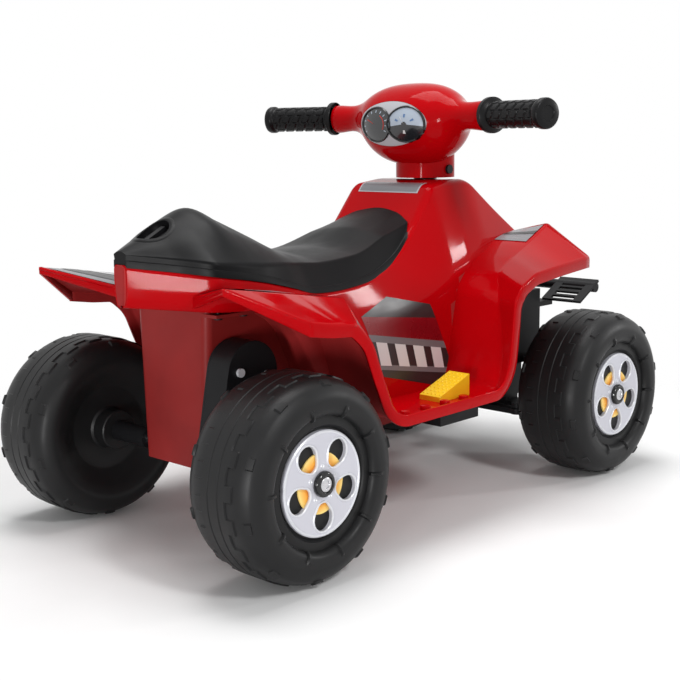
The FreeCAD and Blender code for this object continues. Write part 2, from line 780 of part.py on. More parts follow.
def gear_face(teeth, module, tooth_angle):
    """A spur gear's face in the XZ plane with one tooth centred on tooth_angle, in radians from +Z to +X."""
    pitch = module * teeth / 2
    base = pitch * math.cos(math.radians(PRESSURE_ANGLE))
    tip = pitch + ADDENDUM_SHARE * module
    root = pitch - DEDENDUM_SHARE * module
    half = math.pi / (2 * teeth) - value("gear_backlash") / (4 * pitch)
    half += involute(math.radians(PRESSURE_ANGLE))
    start = max(base, root)
    radii = [start + (tip - start) * step / FLANK_STEPS for step in range(FLANK_STEPS + 1)]
    flank = [(radius, half - involute(math.acos(base / radius))) for radius in radii]
    if root < base:
        flank.insert(0, (root, flank[0][1]))
    corners = []
    for tooth in range(teeth):
        middle = tooth_angle + 2 * math.pi * tooth / teeth
        for radius, offset in flank:
            corners.append((radius, middle - offset))
        for radius, offset in reversed(flank):
            corners.append((radius, middle + offset))
    points = [Vector(radius * math.sin(angle), 0, radius * math.cos(angle)) for radius, angle in corners]
    return Part.Face(Part.makePolygon(points + points[:1]))


def gear(teeth, module, tooth_angle, plane, height):
    """A gear of the train's width in one of its planes."""
    shape = gear_face(teeth, module, tooth_angle).extrude(Vector(0, -value("gear_width"), 0))
    shape.translate(Vector(0, -value(plane), value(height)))
    return shape


def spot(x, y, z):
    """A point from three expressions on the sheet."""
    return Vector(value(x), value(y), value(z))


def rod_shape(radius, start, length, height):
    base = Vector(0, -value(start), value(height))
    return Part.makeCylinder(value(radius), value(length), base, Vector(0, -1, 0))


DRIVER_TOOTH = math.pi
FOLLOWER_GAP = math.pi / GEAR_TEETH


def compound_gear(name, height, wheel_plane, pinion_plane, pinion_module):
    """A large gear driven from above and a pinion that drives the gear below, on one sleeve."""
    bore = rod_shape("gear_pin_radius + running_fit", PLATE_END, CUP_DEPTH, height)
    sleeve = rod_shape("gear_pin_radius + gear_gap / 2", wheel_plane, "2 * gear_width + gear_gap", height)
    wheel = gear(GEAR_TEETH, value("gear_module"), FOLLOWER_GAP, wheel_plane, height)
    pinion = gear(PINION_TEETH, pinion_module, DRIVER_TOOTH, pinion_plane, height)
    keep(name, lean(shaped(wheel.fuse([sleeve, pinion]).cut(bore))))


compound_gear("first_gear", SHAFT_A, GEAR_PLANES[0], GEAR_PLANES[1], value("gear_module"))
compound_gear("second_gear", SHAFT_B, GEAR_PLANES[1], GEAR_PLANES[2], value("drive_module"))

output_wheel = gear(GEAR_TEETH, value("drive_module"), FOLLOWER_GAP, GEAR_PLANES[2], "0")
output_hub = rod_shape("output_hub_radius", GEAR_PLANES[2], f"{HUB_END} - {GEAR_PLANES[2]}", "0")
output_bore = rod_shape("axle_radius + running_fit", GEARBOX_INNER, HUB_END, "0")
keep("output_gear", lean(shaped(output_wheel.fuse(output_hub).cut(output_bore))))

MOTOR_BACK = f"({GEARBOX_INNER} - motor_length)"
motor_can = cut(
    joined(
        rod("motor_radius", MOTOR_BACK, "motor_length", SHAFT_MOTOR),
        rod("motor_boss_radius", GEARBOX_INNER, "motor_boss_height - panel_gap", SHAFT_MOTOR),
        rod("motor_tail_radius", f"{MOTOR_BACK} - motor_boss_height", "motor_boss_height", SHAFT_MOTOR),
    ),
    rod("motor_shaft_radius + running_fit", f"{MOTOR_BACK} / 2", GEARBOX_OUTER, SHAFT_MOTOR),
)
keep("motor", lean(motor_can))

SHAFT_END = f"({GEAR_PLANES[0]} + gear_width)"
SHAFT_START = f"({GEARBOX_INNER} - motor_length / 4)"
rotor_shaft = rod_shape("motor_shaft_radius", SHAFT_START, f"{SHAFT_END} - {SHAFT_START}", SHAFT_MOTOR)
rotor_pinion = gear(PINION_TEETH, value("gear_module"), DRIVER_TOOTH, GEAR_PLANES[0], SHAFT_MOTOR)
keep("motor_pinion", lean(shaped(rotor_pinion.fuse(rotor_shaft))))


# Lower hull: a tub between the wheels with a tall box at the rear and a low channel to the front

HULL_REAR = f"({REAR} - hull_overhang)"
BOX_FRONT = f"({HULL_REAR} + hull_box_length)"
CHANNEL_FRONT = f"({FRONT} - channel_front)"
HULL_TOP = f"({AXLE} + hull_above)"
CHANNEL_TOP = f"({AXLE} + channel_above)"
FLANGE_TOP = f"({AXLE} + {SPINE_SHARES[4][1][1]} * body_rise - panel_gap)"


def hull_block(inset, top_extra):
    """The hull's outer form, or its inner one set in by a wall and open above."""
    low, high = f"hull_half_low - ({inset})", f"hull_half_high - ({inset})"
    bottom = f"{HULL_BOTTOM} + ({inset})"
    length = (f"{HULL_REAR} + ({inset})", f"{BOX_FRONT} - ({inset})")
    rear = tapered_box(length, low, high, (bottom, f"{HULL_TOP} + ({top_extra})"))
    channel = box(
        (f"{HULL_REAR} + ({inset})", f"{CHANNEL_FRONT} - ({inset})"),
        (f"-({low})", low),
        (bottom, f"{CHANNEL_TOP} + ({top_extra})"),
    )
    return joined(rear, channel)


def rounded(feature, radius, wanted):
    """A fillet on the edges that the wanted test picks from the feature's shape."""
    doc.recompute()
    fillet = doc.addObject("Part::Fillet", "rounded")
    fillet.Base = feature
    numbers = [index for index, edge in enumerate(feature.Shape.Edges, 1) if wanted(edge)]
    fillet.Edges = [(number, value(radius), value(radius)) for number in numbers]
    doc.recompute()
    return fillet


def rear_corner(edge):
    """Whether an edge is one of the hull's upright rear corners."""
    box_of_edge = edge.BoundBox
    upright = box_of_edge.ZLength > value("hull_above")
    return upright and box_of_edge.XMax < value(HULL_REAR) + value("overrun")


motor_hole = lean(group(rod("motor_radius + panel_gap", "0", f"{GEARBOX_INNER} + overrun", SHAFT_MOTOR)))
ACROSS_HULL = ("4 * hull_half_high", REAR, "-2 * hull_half_high", AXLE, "Y")
axle_hole = cylinder("axle_radius + running_fit", *ACROSS_HULL)
BUSH_HOLE = "column_radius + bush_wall + running_fit"
BELOW_HULL = f"{HULL_BOTTOM} - overrun"
column_hole = cylinder(BUSH_HOLE, "hull_wall + 2 * overrun", "column_forward", "0", BELOW_HULL)
CABLE_Z = f"({HOUSING_BOTTOM} + housing_wall + switch_height / 2)"
SWITCH_X = f"({PEDAL_PIN_X} + switch_ahead)"
cable_hole = cylinder(
    "cable_radius + panel_gap", "hull_half_high", SWITCH_X, "-hull_half_high - overrun", CABLE_Z, "Y"
)
CABLE_TOP = f"({HULL_BOTTOM} + hull_wall + battery_height + terminal_height + cable_rise)"
cable_pass = cylinder(
    "cable_radius + panel_gap", "hull_wall + 2 * overrun",
    f"{BOX_FRONT} - hull_wall - overrun", "terminal_spread", CABLE_TOP, "X",
)
flange = box(
    (HULL_REAR, f"{HULL_REAR} + flange_length"),
    ("-hull_half_high - flange_width", "hull_half_high + flange_width"),
    (f"{FLANGE_TOP} - flange_thickness", FLANGE_TOP),
)
FLANGE_MID_X = f"{HULL_REAR} + flange_length / 2"
FLANGE_MID_Y = "(hull_half_high + flange_width / 2)"
SCREW_ROWS = [
    (f"({FLANGE_MID_X} + {step} * body_screw_spread / 2)", f"{sign} * {FLANGE_MID_Y}")
    for step in (1, -1)
    for sign in SIDES.values()
]
HOLE_BOTTOM = f"{FLANGE_TOP} - flange_thickness - overrun"
screw_holes = [
    cylinder("body_screw_radius + running_fit", "flange_thickness + 2 * overrun", x, y, HOLE_BOTTOM)
    for x, y in SCREW_ROWS
]
hull_outside = joined(rounded(hull_block("0", "0"), "hull_corner", rear_corner), flange)
hull_inside = hull_block("hull_wall", "overrun")
hull_holes = [motor_hole, axle_hole, column_hole, cable_hole, cable_pass, *screw_holes]
keep("lower_hull", cut(hull_outside, hull_inside, *hull_holes))


def body_screw(x, y):
    """A pan-head screw from under the hull's flange into the body shell."""
    head_top = f"{FLANGE_TOP} - flange_thickness"
    head = cylinder("body_screw_head", "body_screw_radius", x, y, f"{head_top} - body_screw_radius")
    shank = cylinder("body_screw_radius", "body_screw_length", x, y, head_top)
    return joined(head, shank)


keep("body_screws", group(*(body_screw(x, y) for x, y in SCREW_ROWS)))


# Body shell: spine, tank, fenders and footboards in one moulding


def spine_point(x, across, up, side=1):
    """A point of the body from its shares."""
    return Vector(
        x * value("wheel_base") / 2,
        side * across * value("fender_half_width"),
        value(AXLE) + up * value("body_rise"),
    )


def both_sides(half):
    """A closed section from the points of its left half, listed from the keel up."""
    mirrored = [Vector(point.x, -point.y, point.z) for point in reversed(half)]
    points = [point for index, point in enumerate(half + mirrored) if point not in (half + mirrored)[:index]]
    return Part.makePolygon(points + points[:1])


def spine_sections(wall):
    """The spine's sections, or the ones of its hollow, a wall inside."""
    sections = []
    for number, (x, *half) in enumerate(SPINE_SHARES):
        end = {0: 1, len(SPINE_SHARES) - 1: -1}.get(number, 0)
        points = [spine_point(x, across, up) for across, up in half]
        rise = (wall, wall, 0, 0, -wall)
        for point, lift in zip(points, rise):
            point.x += end * wall
            point.y -= wall
            point.z += lift
        sections.append(both_sides(points))
    return sections


def wing_side(side):
    """One side's rear fender, footboard and front fender, as strips from root to crease to lip."""
    roots, creases, tops, feet, drops = [], [], [], [], []
    for foot, crease, root, angle in WING_SHARES:
        up = Vector(math.cos(math.radians(angle)), 0, math.sin(math.radians(angle)))
        roots.append(spine_point(*root, side))
        creases.append(spine_point(*crease, side))
        feet.append(spine_point(*foot, side))
        tops.append(feet[-1] + up * value("lip_height"))
        drops.append(up * -value("wing_wall"))
    inward = [Vector(0, -side * value("wing_wall"), 0)] * len(feet)
    return [
        strip(roots, creases, drops),
        strip(creases, tops, drops),
        strip(tops, feet, inward),
    ]


def strip(edge, other_edge, offsets):
    """A thick ruled band between two edges."""
    sections = []
    for first, second, offset in zip(edge, other_edge, offsets):
        corners = [first, second, second + offset, first + offset]
        sections.append(Part.makePolygon(corners + corners[:1]))
    return Part.makeLoft(sections, True, True)


def box_shape(x, y, z):
    low = Vector(value(x[0]), value(y[0]), value(z[0]))
    size = [value(f"({high}) - ({bottom})") for bottom, high in (x, y, z)]
    return Part.makeBox(*size, low)


def upright(radius, x, y, bottom, top):
    base = Vector(value(x), value(y), value(bottom))
    return Part.makeCylinder(value(radius), value(f"({top}) - ({bottom})"), base, Vector(0, 0, 1))


spine_outer = Part.makeLoft(spine_sections(0), True, True)
spine_inner = Part.makeLoft(spine_sections(value("shell_wall")), True, True)
wings = [band for sign in SIDES.values() for band in wing_side(sign)]
shell = spine_outer.fuse(wings)
HULL_ROOM = "hull_half_high + panel_gap"
cuts = [
    spine_inner,
    box_shape(
        (f"{HULL_REAR} - panel_gap", f"{BOX_FRONT} + panel_gap"), (f"-({HULL_ROOM})", HULL_ROOM),
        (HULL_BOTTOM, f"{HULL_TOP} + panel_gap"),
    ),
    box_shape(
        (HULL_REAR, f"{CHANNEL_FRONT} + panel_gap"),
        ("-hull_half_low - panel_gap", "hull_half_low + panel_gap"),
        (HULL_BOTTOM, f"{CHANNEL_TOP} + panel_gap"),
    ),
    box_shape(
        ("-deck_back", "deck_length - deck_back"), ("-deck_width / 2", "deck_width / 2"),
        (CHANNEL_TOP, TANK_TOP),
    ),
    box_shape(
        (f"{CHANNEL_FRONT} - panel_gap", f"{CHANNEL_FRONT} + carrier_length + panel_gap"),
        ("-carrier_half_width - panel_gap", "carrier_half_width + panel_gap"),
        (HULL_BOTTOM, f"{AXLE} + carrier_above + panel_gap"),
    ),
    upright(BUSH_HOLE, "column_forward", "0", HULL_BOTTOM, f"{TANK_TOP} + overrun"),
    box_shape(
        (f"{PEDAL_HEEL} - pedal_gap", f"{PEDAL_HEEL} + pedal_length + 2 * pedal_gap"),
        ("-pedal_inset - pedal_width - pedal_gap", "-pedal_inset + pedal_gap"),
        (f"{FLOOR} - wing_wall - overrun", f"{FLOOR} + overrun"),
    ),
]
cuts += [
    upright("body_screw_radius + running_fit", x, y, HULL_BOTTOM, f"{FLANGE_TOP} + body_screw_length")
    for x, y in SCREW_ROWS
]
keep("body_shell", shaped(shell.cut(cuts)))


# Seat: a moulded saddle over the spine, with a turning lock in its tail


def tank_lean():
    """How far the tank's rear face runs forward for each unit that it rises."""
    low, high = SPINE_SHARES[len(SEAT_SHARES) - 1], SPINE_SHARES[len(SEAT_SHARES)]
    rise = (high[-1][1] - low[-1][1]) * value("body_rise")
    return (high[0] - low[0]) * value("wheel_base") / 2 / rise


def seat_sections(wall):
    """The saddle's sections, or the ones of its hollow, which is open below."""
    sections = []
    last = len(SEAT_SHARES) - 1
    for number, (spine_row, seat_row) in enumerate(zip(SPINE_SHARES, SEAT_SHARES)):
        x = spine_row[0]
        end = {0: 1, last: -1}.get(number, 0)
        deck = [spine_point(x, *spine_row[5]), spine_point(x, *spine_row[4])]
        base_height = deck[0].z
        top = [spine_point(x, *share) for share in seat_row]
        gap = value("seat_gap") - (value("overrun") if wall else 0)
        for point in deck:
            point.z += gap
            point.y -= wall
        for point in top:
            point.y = max(0, point.y - wall)
            point.z -= wall
        half = deck + top
        for point in half:
            point.x += end * wall
            if number == last:
                point.x += (point.z - base_height) * tank_lean() - value("seat_front_gap")
        sections.append(both_sides(half))
    return sections


LOCK_X = f"({SPINE_SHARES[3][0]} * wheel_base / 2 - lock_back)"
LOCK_Z = f"({AXLE} + {SEAT_SHARES[3][2][1]} * body_rise - lock_drop)"


def lock_frame():
    """The lock's place on the tail's slope, with +Z out of it."""
    turn = Rotation(Vector(0, 1, 0), -value("lock_slope_angle"))
    return Placement(Vector(value(LOCK_X), 0, value(LOCK_Z)), turn)


def lock_rod(radius, top, depth):
    """A round solid on the lock's axis from a height down by a depth."""
    shape = Part.makeCylinder(value(radius), value(depth), Vector(0, 0, value(top) - value(depth)))
    shape.Placement = lock_frame()
    return shape


seat_outer = Part.makeLoft(seat_sections(0), True, True)
seat_inner = Part.makeLoft(seat_sections(value("seat_wall")), True, True)
seat_cup = lock_rod("lock_cup_radius", "overrun", "lock_cup_depth + overrun").common(seat_outer)
seat_shape = seat_outer.cut(seat_inner).fuse(seat_cup).cut(
    [
        lock_rod("lock_recess_radius", "lock_recess_depth", "2 * lock_recess_depth"),
        lock_rod("lock_stem_radius + running_fit", "0", "2 * lock_cup_depth"),
    ]
)
keep("seat", shaped(seat_shape))

LOCK_FLOOR = "(panel_gap - lock_recess_depth)"
lock_base = lock_rod("lock_radius", f"lock_base + {LOCK_FLOOR}", "lock_base")
lock_stem = lock_rod("lock_stem_radius", LOCK_FLOOR, "lock_stem_length")
lock_grip = box_shape(
    ("-lock_grip_length / 2", "lock_grip_length / 2"), ("-lock_grip_width / 2", "lock_grip_width / 2"),
    (LOCK_FLOOR, f"{LOCK_FLOOR} + lock_grip_height"),
)
lock_grip.Placement = lock_frame()
keep("seat_lock", shaped(lock_base.fuse([lock_stem, lock_grip])))


# Steering column with its crank, bushes and the red neck under the handlebar

NECK_BOTTOM = f"({TANK_TOP} + bush_flange_height + neck_clearance)"
NECK_MID = f"({NECK_BOTTOM} + clamp_above)"
ARM_SPAN = (ARM_BOTTOM, f"{ARM_BOTTOM} + arm_thickness")
crank = box((CRANK_PIN, "column_forward"), ("-arm_width / 2", "arm_width / 2"), ARM_SPAN)
crank_eye = cylinder("arm_width / 2", "arm_thickness", CRANK_PIN, "0", ARM_BOTTOM)
PIN_LENGTH = "link_gap + link_thickness + arm_thickness"
PIN_BOTTOM = f"{LINK_TOP} - link_thickness"
crank_pin = cylinder("pin_radius", PIN_LENGTH, CRANK_PIN, "0", PIN_BOTTOM)
COLUMN_LENGTH = f"{AXLE} + column_top - {ARM_BOTTOM}"
ACROSS_NECK = ("4 * neck_radius", "column_forward", "-2 * neck_radius", NECK_MID, "Y")
column_rod = cylinder("column_radius", COLUMN_LENGTH, "column_forward", "0", ARM_BOTTOM)
clamp_hole = cylinder("clamp_bolt_radius + running_fit", *ACROSS_NECK)
keep("steering_column", cut(joined(column_rod, crank, crank_eye, crank_pin), clamp_hole))

bush_bore = "column_radius + running_fit"
bush_outer = "column_radius + bush_wall"
lower_bush = tube(bush_outer, bush_bore, "bush_length", "column_forward", "0", HULL_BOTTOM)
upper_sleeve = tube(bush_outer, bush_bore, "bush_length", "column_forward", "0", f"{TANK_TOP} - bush_length")
flange_outer = f"{bush_outer} + bush_flange"
upper_flange = tube(flange_outer, bush_bore, "bush_flange_height", "column_forward", "0", TANK_TOP)
keep("column_bushes", group(lower_bush, joined(upper_sleeve, upper_flange)))


def pod_section(span, shrink, side, wall):
    """An ellipse across the handlebar pod, a wall inside its skin."""
    forward = value("column_forward - pod_back") + shrink * value("pod_back - bar_back")
    height = value(AXLE) + value("pod_rise") + shrink * value("bar_rise - pod_rise")
    depth = value("pod_depth") + shrink * value("bar_radius - pod_depth") - wall
    rise = value("pod_height") + shrink * value("bar_radius - pod_height") - wall
    ring = Part.Circle(Vector(), Vector(0, 1, 0), 1).toShape()
    stretch = Matrix()
    stretch.scale(depth, 1, rise)
    stretch.rotateZ(side * shrink * math.radians(value("grip_sweep_angle")))
    stretch.move(Vector(forward, side * span * value("pod_half_span"), height))
    return Part.Wire(ring.transformGeometry(stretch).Edges)


def pod_solid(wall):
    rows = [(*row, -1) for row in reversed(POD_SHARES[1:])] + [(*row, 1) for row in POD_SHARES]
    return Part.makeLoft([pod_section(*row, wall) for row in rows], True, False)


def dash_prism(margin):
    """An oval block through the pod's rear face, along the way that the dashboard looks."""
    half_width = value("dash_half_width") + margin
    half_height = value("dash_half_height") + margin
    oval = Part.Face(Part.Wire(Part.Ellipse(Vector(), half_width, half_height).toShape()))
    block = oval.extrude(Vector(0, 0, 2 * value("pod_depth")))
    look = Rotation(Vector(0, 1, 0), value("dash_tilt_angle") - 90).multiply(Rotation(Vector(0, 0, 1), 90))
    centre = spot("column_forward - pod_back", "0", f"{AXLE} + pod_rise")
    block.Placement = Placement(centre, look)
    return block


pod_outer = pod_solid(0)
pod_shell = pod_outer.cut(pod_solid(value("pod_wall")))
reach = "4 * pod_depth"
front_half = box_shape(
    ("column_forward", f"column_forward + {reach}"), ("-2 * pod_half_span", "2 * pod_half_span"),
    (TANK_TOP, f"{AXLE} + pod_rise + {reach}"),
)
column_room = upright("neck_hub_radius + panel_gap", "column_forward", "0", TANK_TOP, f"{AXLE} + pod_rise")
keep("pod_front_cover", shaped(pod_shell.common(front_half).cut(column_room)))
keep("pod_rear_cover", shaped(pod_shell.cut([front_half, dash_prism(value("panel_gap")), column_room])))
keep("dash_panel", shaped(pod_shell.common(dash_prism(0))))


def gauge_lens(side):
    """A clear lens over a dial, standing on the dashboard's skin."""
    ring = Part.makeCylinder(value("gauge_radius"), 2 * value("pod_depth"))
    look = Rotation(Vector(0, 1, 0), value("dash_tilt_angle") - 90)
    centre = spot("column_forward - pod_back", f"{side} * gauge_spread", f"{AXLE} + pod_rise")
    ring.Placement = Placement(centre, look)
    raised = pod_solid(-value("gauge_height"))
    return ring.common(raised).cut(pod_outer)


keep("gauge_lenses", shaped(Part.makeCompound([gauge_lens(sign) for sign in SIDES.values()])))

POD_MIDDLE = f"({AXLE} + pod_rise)"
neck_tube = upright("neck_radius", "column_forward", "0", NECK_BOTTOM, POD_MIDDLE).cut(
    upright("neck_radius - neck_wall", "column_forward", "0", NECK_BOTTOM, POD_MIDDLE)
)
neck_plate = upright("neck_radius", "column_forward", "0", NECK_BOTTOM, f"{NECK_BOTTOM} + neck_wall")
neck_hub = upright("neck_hub_radius", "column_forward", "0", NECK_BOTTOM, f"{AXLE} + column_top")
neck_bore = upright("column_radius + running_fit", "column_forward", "0", TANK_TOP, POD_MIDDLE)
bolt_line = Vector(0, 1, 0)
bolt_start = spot("column_forward", "-2 * neck_radius", NECK_MID)
bolt_hole_radius = value("clamp_bolt_radius + running_fit")
bolt_hole = Part.makeCylinder(bolt_hole_radius, value("4 * neck_radius"), bolt_start, bolt_line)
neck = neck_tube.fuse(neck_plate).cut(pod_outer).fuse(neck_hub).cut([neck_bore, bolt_hole])
keep("steering_neck", shaped(neck))

BOLT_SEAT = ("column_forward", "-neck_radius", NECK_MID)
clamp_shank = cylinder("clamp_bolt_radius", "2 * neck_radius", *BOLT_SEAT, "Y")
clamp_head = cylinder("clamp_head_radius", "clamp_head_height", *BOLT_SEAT, "-Y")
keep("clamp_bolt", joined(clamp_shank, clamp_head))


def grip(side):
    """A ribbed hand grip with a hand stop, along the swept-back end of the bar."""
    body = new_body(f"grip_{'left' if side > 0 else 'right'}")
    profile = new_sketch(body, "XZ_Plane")
    end = "grip_length - grip_end_height"
    polygon(
        profile,
        [
            ("grip_bore", "0"),
            ("grip_flange_radius", "0"),
            ("grip_flange_radius", "grip_flange_height"),
            ("grip_radius", "grip_flange_height + grip_flange_slope"),
            ("grip_radius", end),
            ("grip_end_radius", end),
            ("grip_end_radius", "grip_length - grip_end_bevel"),
            ("grip_end_radius - grip_end_bevel", "grip_length"),
            ("0", "grip_length"),
            ("0", end),
            ("grip_bore", end),
        ],
    )
    turned(body, profile)
    sweep = math.radians(value("grip_sweep_angle"))
    axis = Vector(-math.sin(sweep), side * math.cos(sweep), 0)
    turn = Rotation(Vector(0, 0, 1), axis)
    place(body, "column_forward - bar_back", f"{side} * pod_half_span", f"{AXLE} + bar_rise", turn)


for sign in SIDES.values():
    grip(sign)


# Front carrier with a post beside it and an ear above and below each kingpin

CARRIER_START = CHANNEL_FRONT
CARRIER_END = f"({CHANNEL_FRONT} + carrier_length)"
CARRIER_BOTTOM = f"({ARM_BOTTOM} + carrier_lift)"
CARRIER_TOP = f"({AXLE} + carrier_above)"
LOWER_EAR = f"({ARM_BOTTOM} - thrust_gap - ear_thickness)"
UPPER_EAR = f"({AXLE} + knuckle_above + thrust_gap)"
KINGPIN_LENGTH = f"{UPPER_EAR} + ear_thickness - {LOWER_EAR}"
EAR_REAR = f"{FRONT} - ear_radius"
EAR_FRONT = f"{FRONT} + ear_radius"


def ear_pair(bottom):
    """A beam across the carrier with a round ear at each end."""
    top = f"{bottom} + ear_thickness"
    beam = box((EAR_REAR, EAR_FRONT), ("-kingpin_inset", "kingpin_inset"), (bottom, top))
    places = [f"{sign} * kingpin_inset" for sign in SIDES.values()]
    ends = [cylinder("ear_radius", "ear_thickness", FRONT, y, bottom) for y in places]
    return joined(beam, *ends)


CARRIER_ACROSS = ("-carrier_half_width", "carrier_half_width")
carrier_block = box((CARRIER_START, CARRIER_END), CARRIER_ACROSS, (CARRIER_BOTTOM, CARRIER_TOP))
carrier_hollow = box(
    (f"{CARRIER_START} + carrier_wall", f"{CARRIER_END} - carrier_wall"),
    ("-carrier_half_width + carrier_wall", "carrier_half_width - carrier_wall"),
    (f"{CARRIER_BOTTOM} + carrier_wall", f"{CARRIER_TOP} - carrier_wall"),
)
POST_OUTER = "(carrier_half_width + post_width)"
posts = box(
    (f"{CARRIER_END} - post_length", CARRIER_END), (f"-{POST_OUTER}", POST_OUTER), (UPPER_EAR, CARRIER_TOP)
)
posts_hollow = box(
    (f"{CARRIER_END} - post_length + carrier_wall", f"{CARRIER_END} - carrier_wall"),
    (f"-{POST_OUTER} + carrier_wall", f"{POST_OUTER} - carrier_wall"),
    (f"{UPPER_EAR} + carrier_wall", f"{CARRIER_TOP} - carrier_wall"),
)
riser = box((EAR_REAR, EAR_FRONT), CARRIER_ACROSS, (LOWER_EAR, f"{CARRIER_BOTTOM} + carrier_wall"))
kingpin_holes = [
    cylinder("kingpin_radius + running_fit", KINGPIN_LENGTH, FRONT, f"{sign} * kingpin_inset", LOWER_EAR)
    for sign in SIDES.values()
]
ears = (ear_pair(LOWER_EAR), ear_pair(UPPER_EAR))
boxes = (cut(carrier_block, carrier_hollow), cut(posts, posts_hollow))
carrier = cut(joined(*boxes, riser, *ears), *kingpin_holes)


def kingpin(side):
    y = f"{side} * kingpin_inset"
    shank = cylinder("kingpin_radius", KINGPIN_LENGTH, FRONT, y, LOWER_EAR)
    head = cylinder("kingpin_head", "kingpin_head_height", FRONT, y, f"{UPPER_EAR} + ear_thickness")
    return joined(shank, head)


keep("kingpins", group(*(kingpin(sign) for sign in SIDES.values())))


def knuckle(side):
    """Steering knuckle: a barrel on the kingpin, a boss for the stub axle and an arm to the rear."""
    name = "left" if side > 0 else "right"
    y = f"{side} * kingpin_inset"
    outward = "Y" if side > 0 else "-Y"
    boss_length = f"{HUB_END} - wheel_float - kingpin_inset"
    barrel = cylinder("knuckle_radius", "knuckle_below + knuckle_above", FRONT, y, ARM_BOTTOM)
    boss = cylinder("spindle_radius", boss_length, FRONT, y, AXLE, outward)
    arm = box((ARM_PIN, FRONT), (f"{y} - arm_width / 2", f"{y} + arm_width / 2"), ARM_SPAN)
    eye = cylinder("arm_width / 2", "arm_thickness", ARM_PIN, y, ARM_BOTTOM)
    pin = cylinder("pin_radius", PIN_LENGTH, ARM_PIN, y, PIN_BOTTOM)
    pin_bore = cylinder("kingpin_radius + running_fit", "knuckle_below + knuckle_above", FRONT, y, ARM_BOTTOM)
    stub_start = f"{side} * (kingpin_inset + kingpin_radius + panel_gap + running_fit)"
    stub_bore = cylinder("axle_radius + running_fit", boss_length, FRONT, stub_start, AXLE, outward)
    keep(f"knuckle_{name}", cut(joined(barrel, boss, arm, eye, pin), pin_bore, stub_bore))
    stub_length = f"{AXLE_END} - kingpin_inset - kingpin_radius - panel_gap - running_fit"
    stub = cylinder("axle_radius", stub_length, FRONT, stub_start, AXLE, outward)
    head = cylinder("nut_radius", "nut_height", FRONT, f"{side} * ({RIM_SEAT} + wheel_float)", AXLE, outward)
    keep(f"stub_axle_{name}", joined(stub, head))


for sign in SIDES.values():
    knuckle(sign)

LINK_BOTTOM = f"({LINK_TOP} - link_thickness)"
LINK_SPAN = (LINK_BOTTOM, LINK_TOP)
PIN_PLACES = ((CRANK_PIN, "0"), (ARM_PIN, "kingpin_inset"), (ARM_PIN, "-kingpin_inset"))
stem = box((CRANK_PIN, ARM_PIN), ("-link_width / 2", "link_width / 2"), LINK_SPAN)
LINK_ALONG = (f"{ARM_PIN} - link_width / 2", f"{ARM_PIN} + link_width / 2")
cross = box(LINK_ALONG, ("-kingpin_inset", "kingpin_inset"), LINK_SPAN)
eyes = [cylinder("link_eye_radius", "link_thickness", x, y, LINK_BOTTOM) for x, y in PIN_PLACES]
eye_holes = [cylinder("pin_radius + running_fit", "link_thickness", x, y, LINK_BOTTOM) for x, y in PIN_PLACES]
keep("steering_link", cut(joined(stem, cross, *eyes), *eye_holes))


# Front bumper: a slotted plate on each side, a bar across their tips and a tongue to the carrier

SLOT_MIDDLE = "bumper_plate_length / 2 - bumper_slot_shift"


def bumper_plate(side):
    """A plate that rises forward, with slots across it."""
    inner = "bumper_plate_inset" if side > 0 else "-bumper_plate_inset - bumper_plate_width"
    across = (inner, f"{inner} + bumper_plate_width")
    plate = box(("0", "bumper_plate_length"), across, ("-bumper_plate_thickness", "0"))
    middle = f"{side} * (bumper_plate_inset + bumper_plate_width / 2)"
    slots = [
        box(
            (f"{SLOT_MIDDLE} + {step} * bumper_slot_pitch - bumper_slot_width / 2",
             f"{SLOT_MIDDLE} + {step} * bumper_slot_pitch + bumper_slot_width / 2"),
            (f"{middle} - bumper_slot_length / 2", f"{middle} + bumper_slot_length / 2"),
            ("-bumper_plate_thickness - overrun", "overrun"),
        )
        for step in (index - (SLOT_COUNT - 1) / 2 for index in range(SLOT_COUNT))
    ]
    slotted = cut(plate, *slots)
    place(slotted, BUMPER_X, "0", BUMPER_Z, Rotation(Vector(0, -1, 0), value("bumper_slope_angle")))
    slotted.setExpression("Placement.Rotation.Angle", bound("bumper_slope_angle"))
    return slotted


BUMPER_X = f"({FRONT} + bumper_reach - bumper_plate_length)"
BUMPER_Z = f"({AXLE} + bumper_low)"
bumper_slope = Rotation(Vector(0, -1, 0), value("bumper_slope_angle"))
tip = bumper_slope.multVec(Vector(value("bumper_plate_length - bumper_bar_radius"), 0, 0))
OUTER_EDGE = "(bumper_plate_inset + bumper_plate_width)"
bar_start = spot(BUMPER_X, f"-{OUTER_EDGE}", f"{BUMPER_Z} - bumper_bar_radius") + tip
bar = Part.makeCylinder(value("bumper_bar_radius"), value(f"2 * {OUTER_EDGE}"), bar_start, Vector(0, 1, 0))
tongue = box(
    (CARRIER_END, f"{BUMPER_X} + bumper_tongue_drop"),
    ("-bumper_tongue_half_width", "bumper_tongue_half_width"),
    (f"{BUMPER_Z} - bumper_tongue_drop", f"{BUMPER_Z} - bumper_tongue_drop / 4"),
)
foot = box(
    (CARRIER_END, f"{CARRIER_END} + bumper_plate_thickness"),
    ("-carrier_half_width", "carrier_half_width"),
    (f"{BUMPER_Z} - bumper_foot_drop", f"{BUMPER_Z} - bumper_tongue_drop / 4"),
)
BUMPER_FACE = f"({CARRIER_END} + bumper_plate_thickness)"
SCREW_Z = f"({BUMPER_Z} - bumper_screw_drop)"


def bumper_screw_line(radius, side):
    start = f"{BUMPER_FACE} - bumper_screw_length"
    return cylinder(radius, "bumper_screw_length", start, f"{side} * bumper_screw_spread", SCREW_Z, "X")


def bumper_screw(side):
    y = f"{side} * bumper_screw_spread"
    head = cylinder("bumper_screw_head", "bumper_screw_radius", BUMPER_FACE, y, SCREW_Z, "X")
    return joined(bumper_screw_line("bumper_screw_radius", side), head)


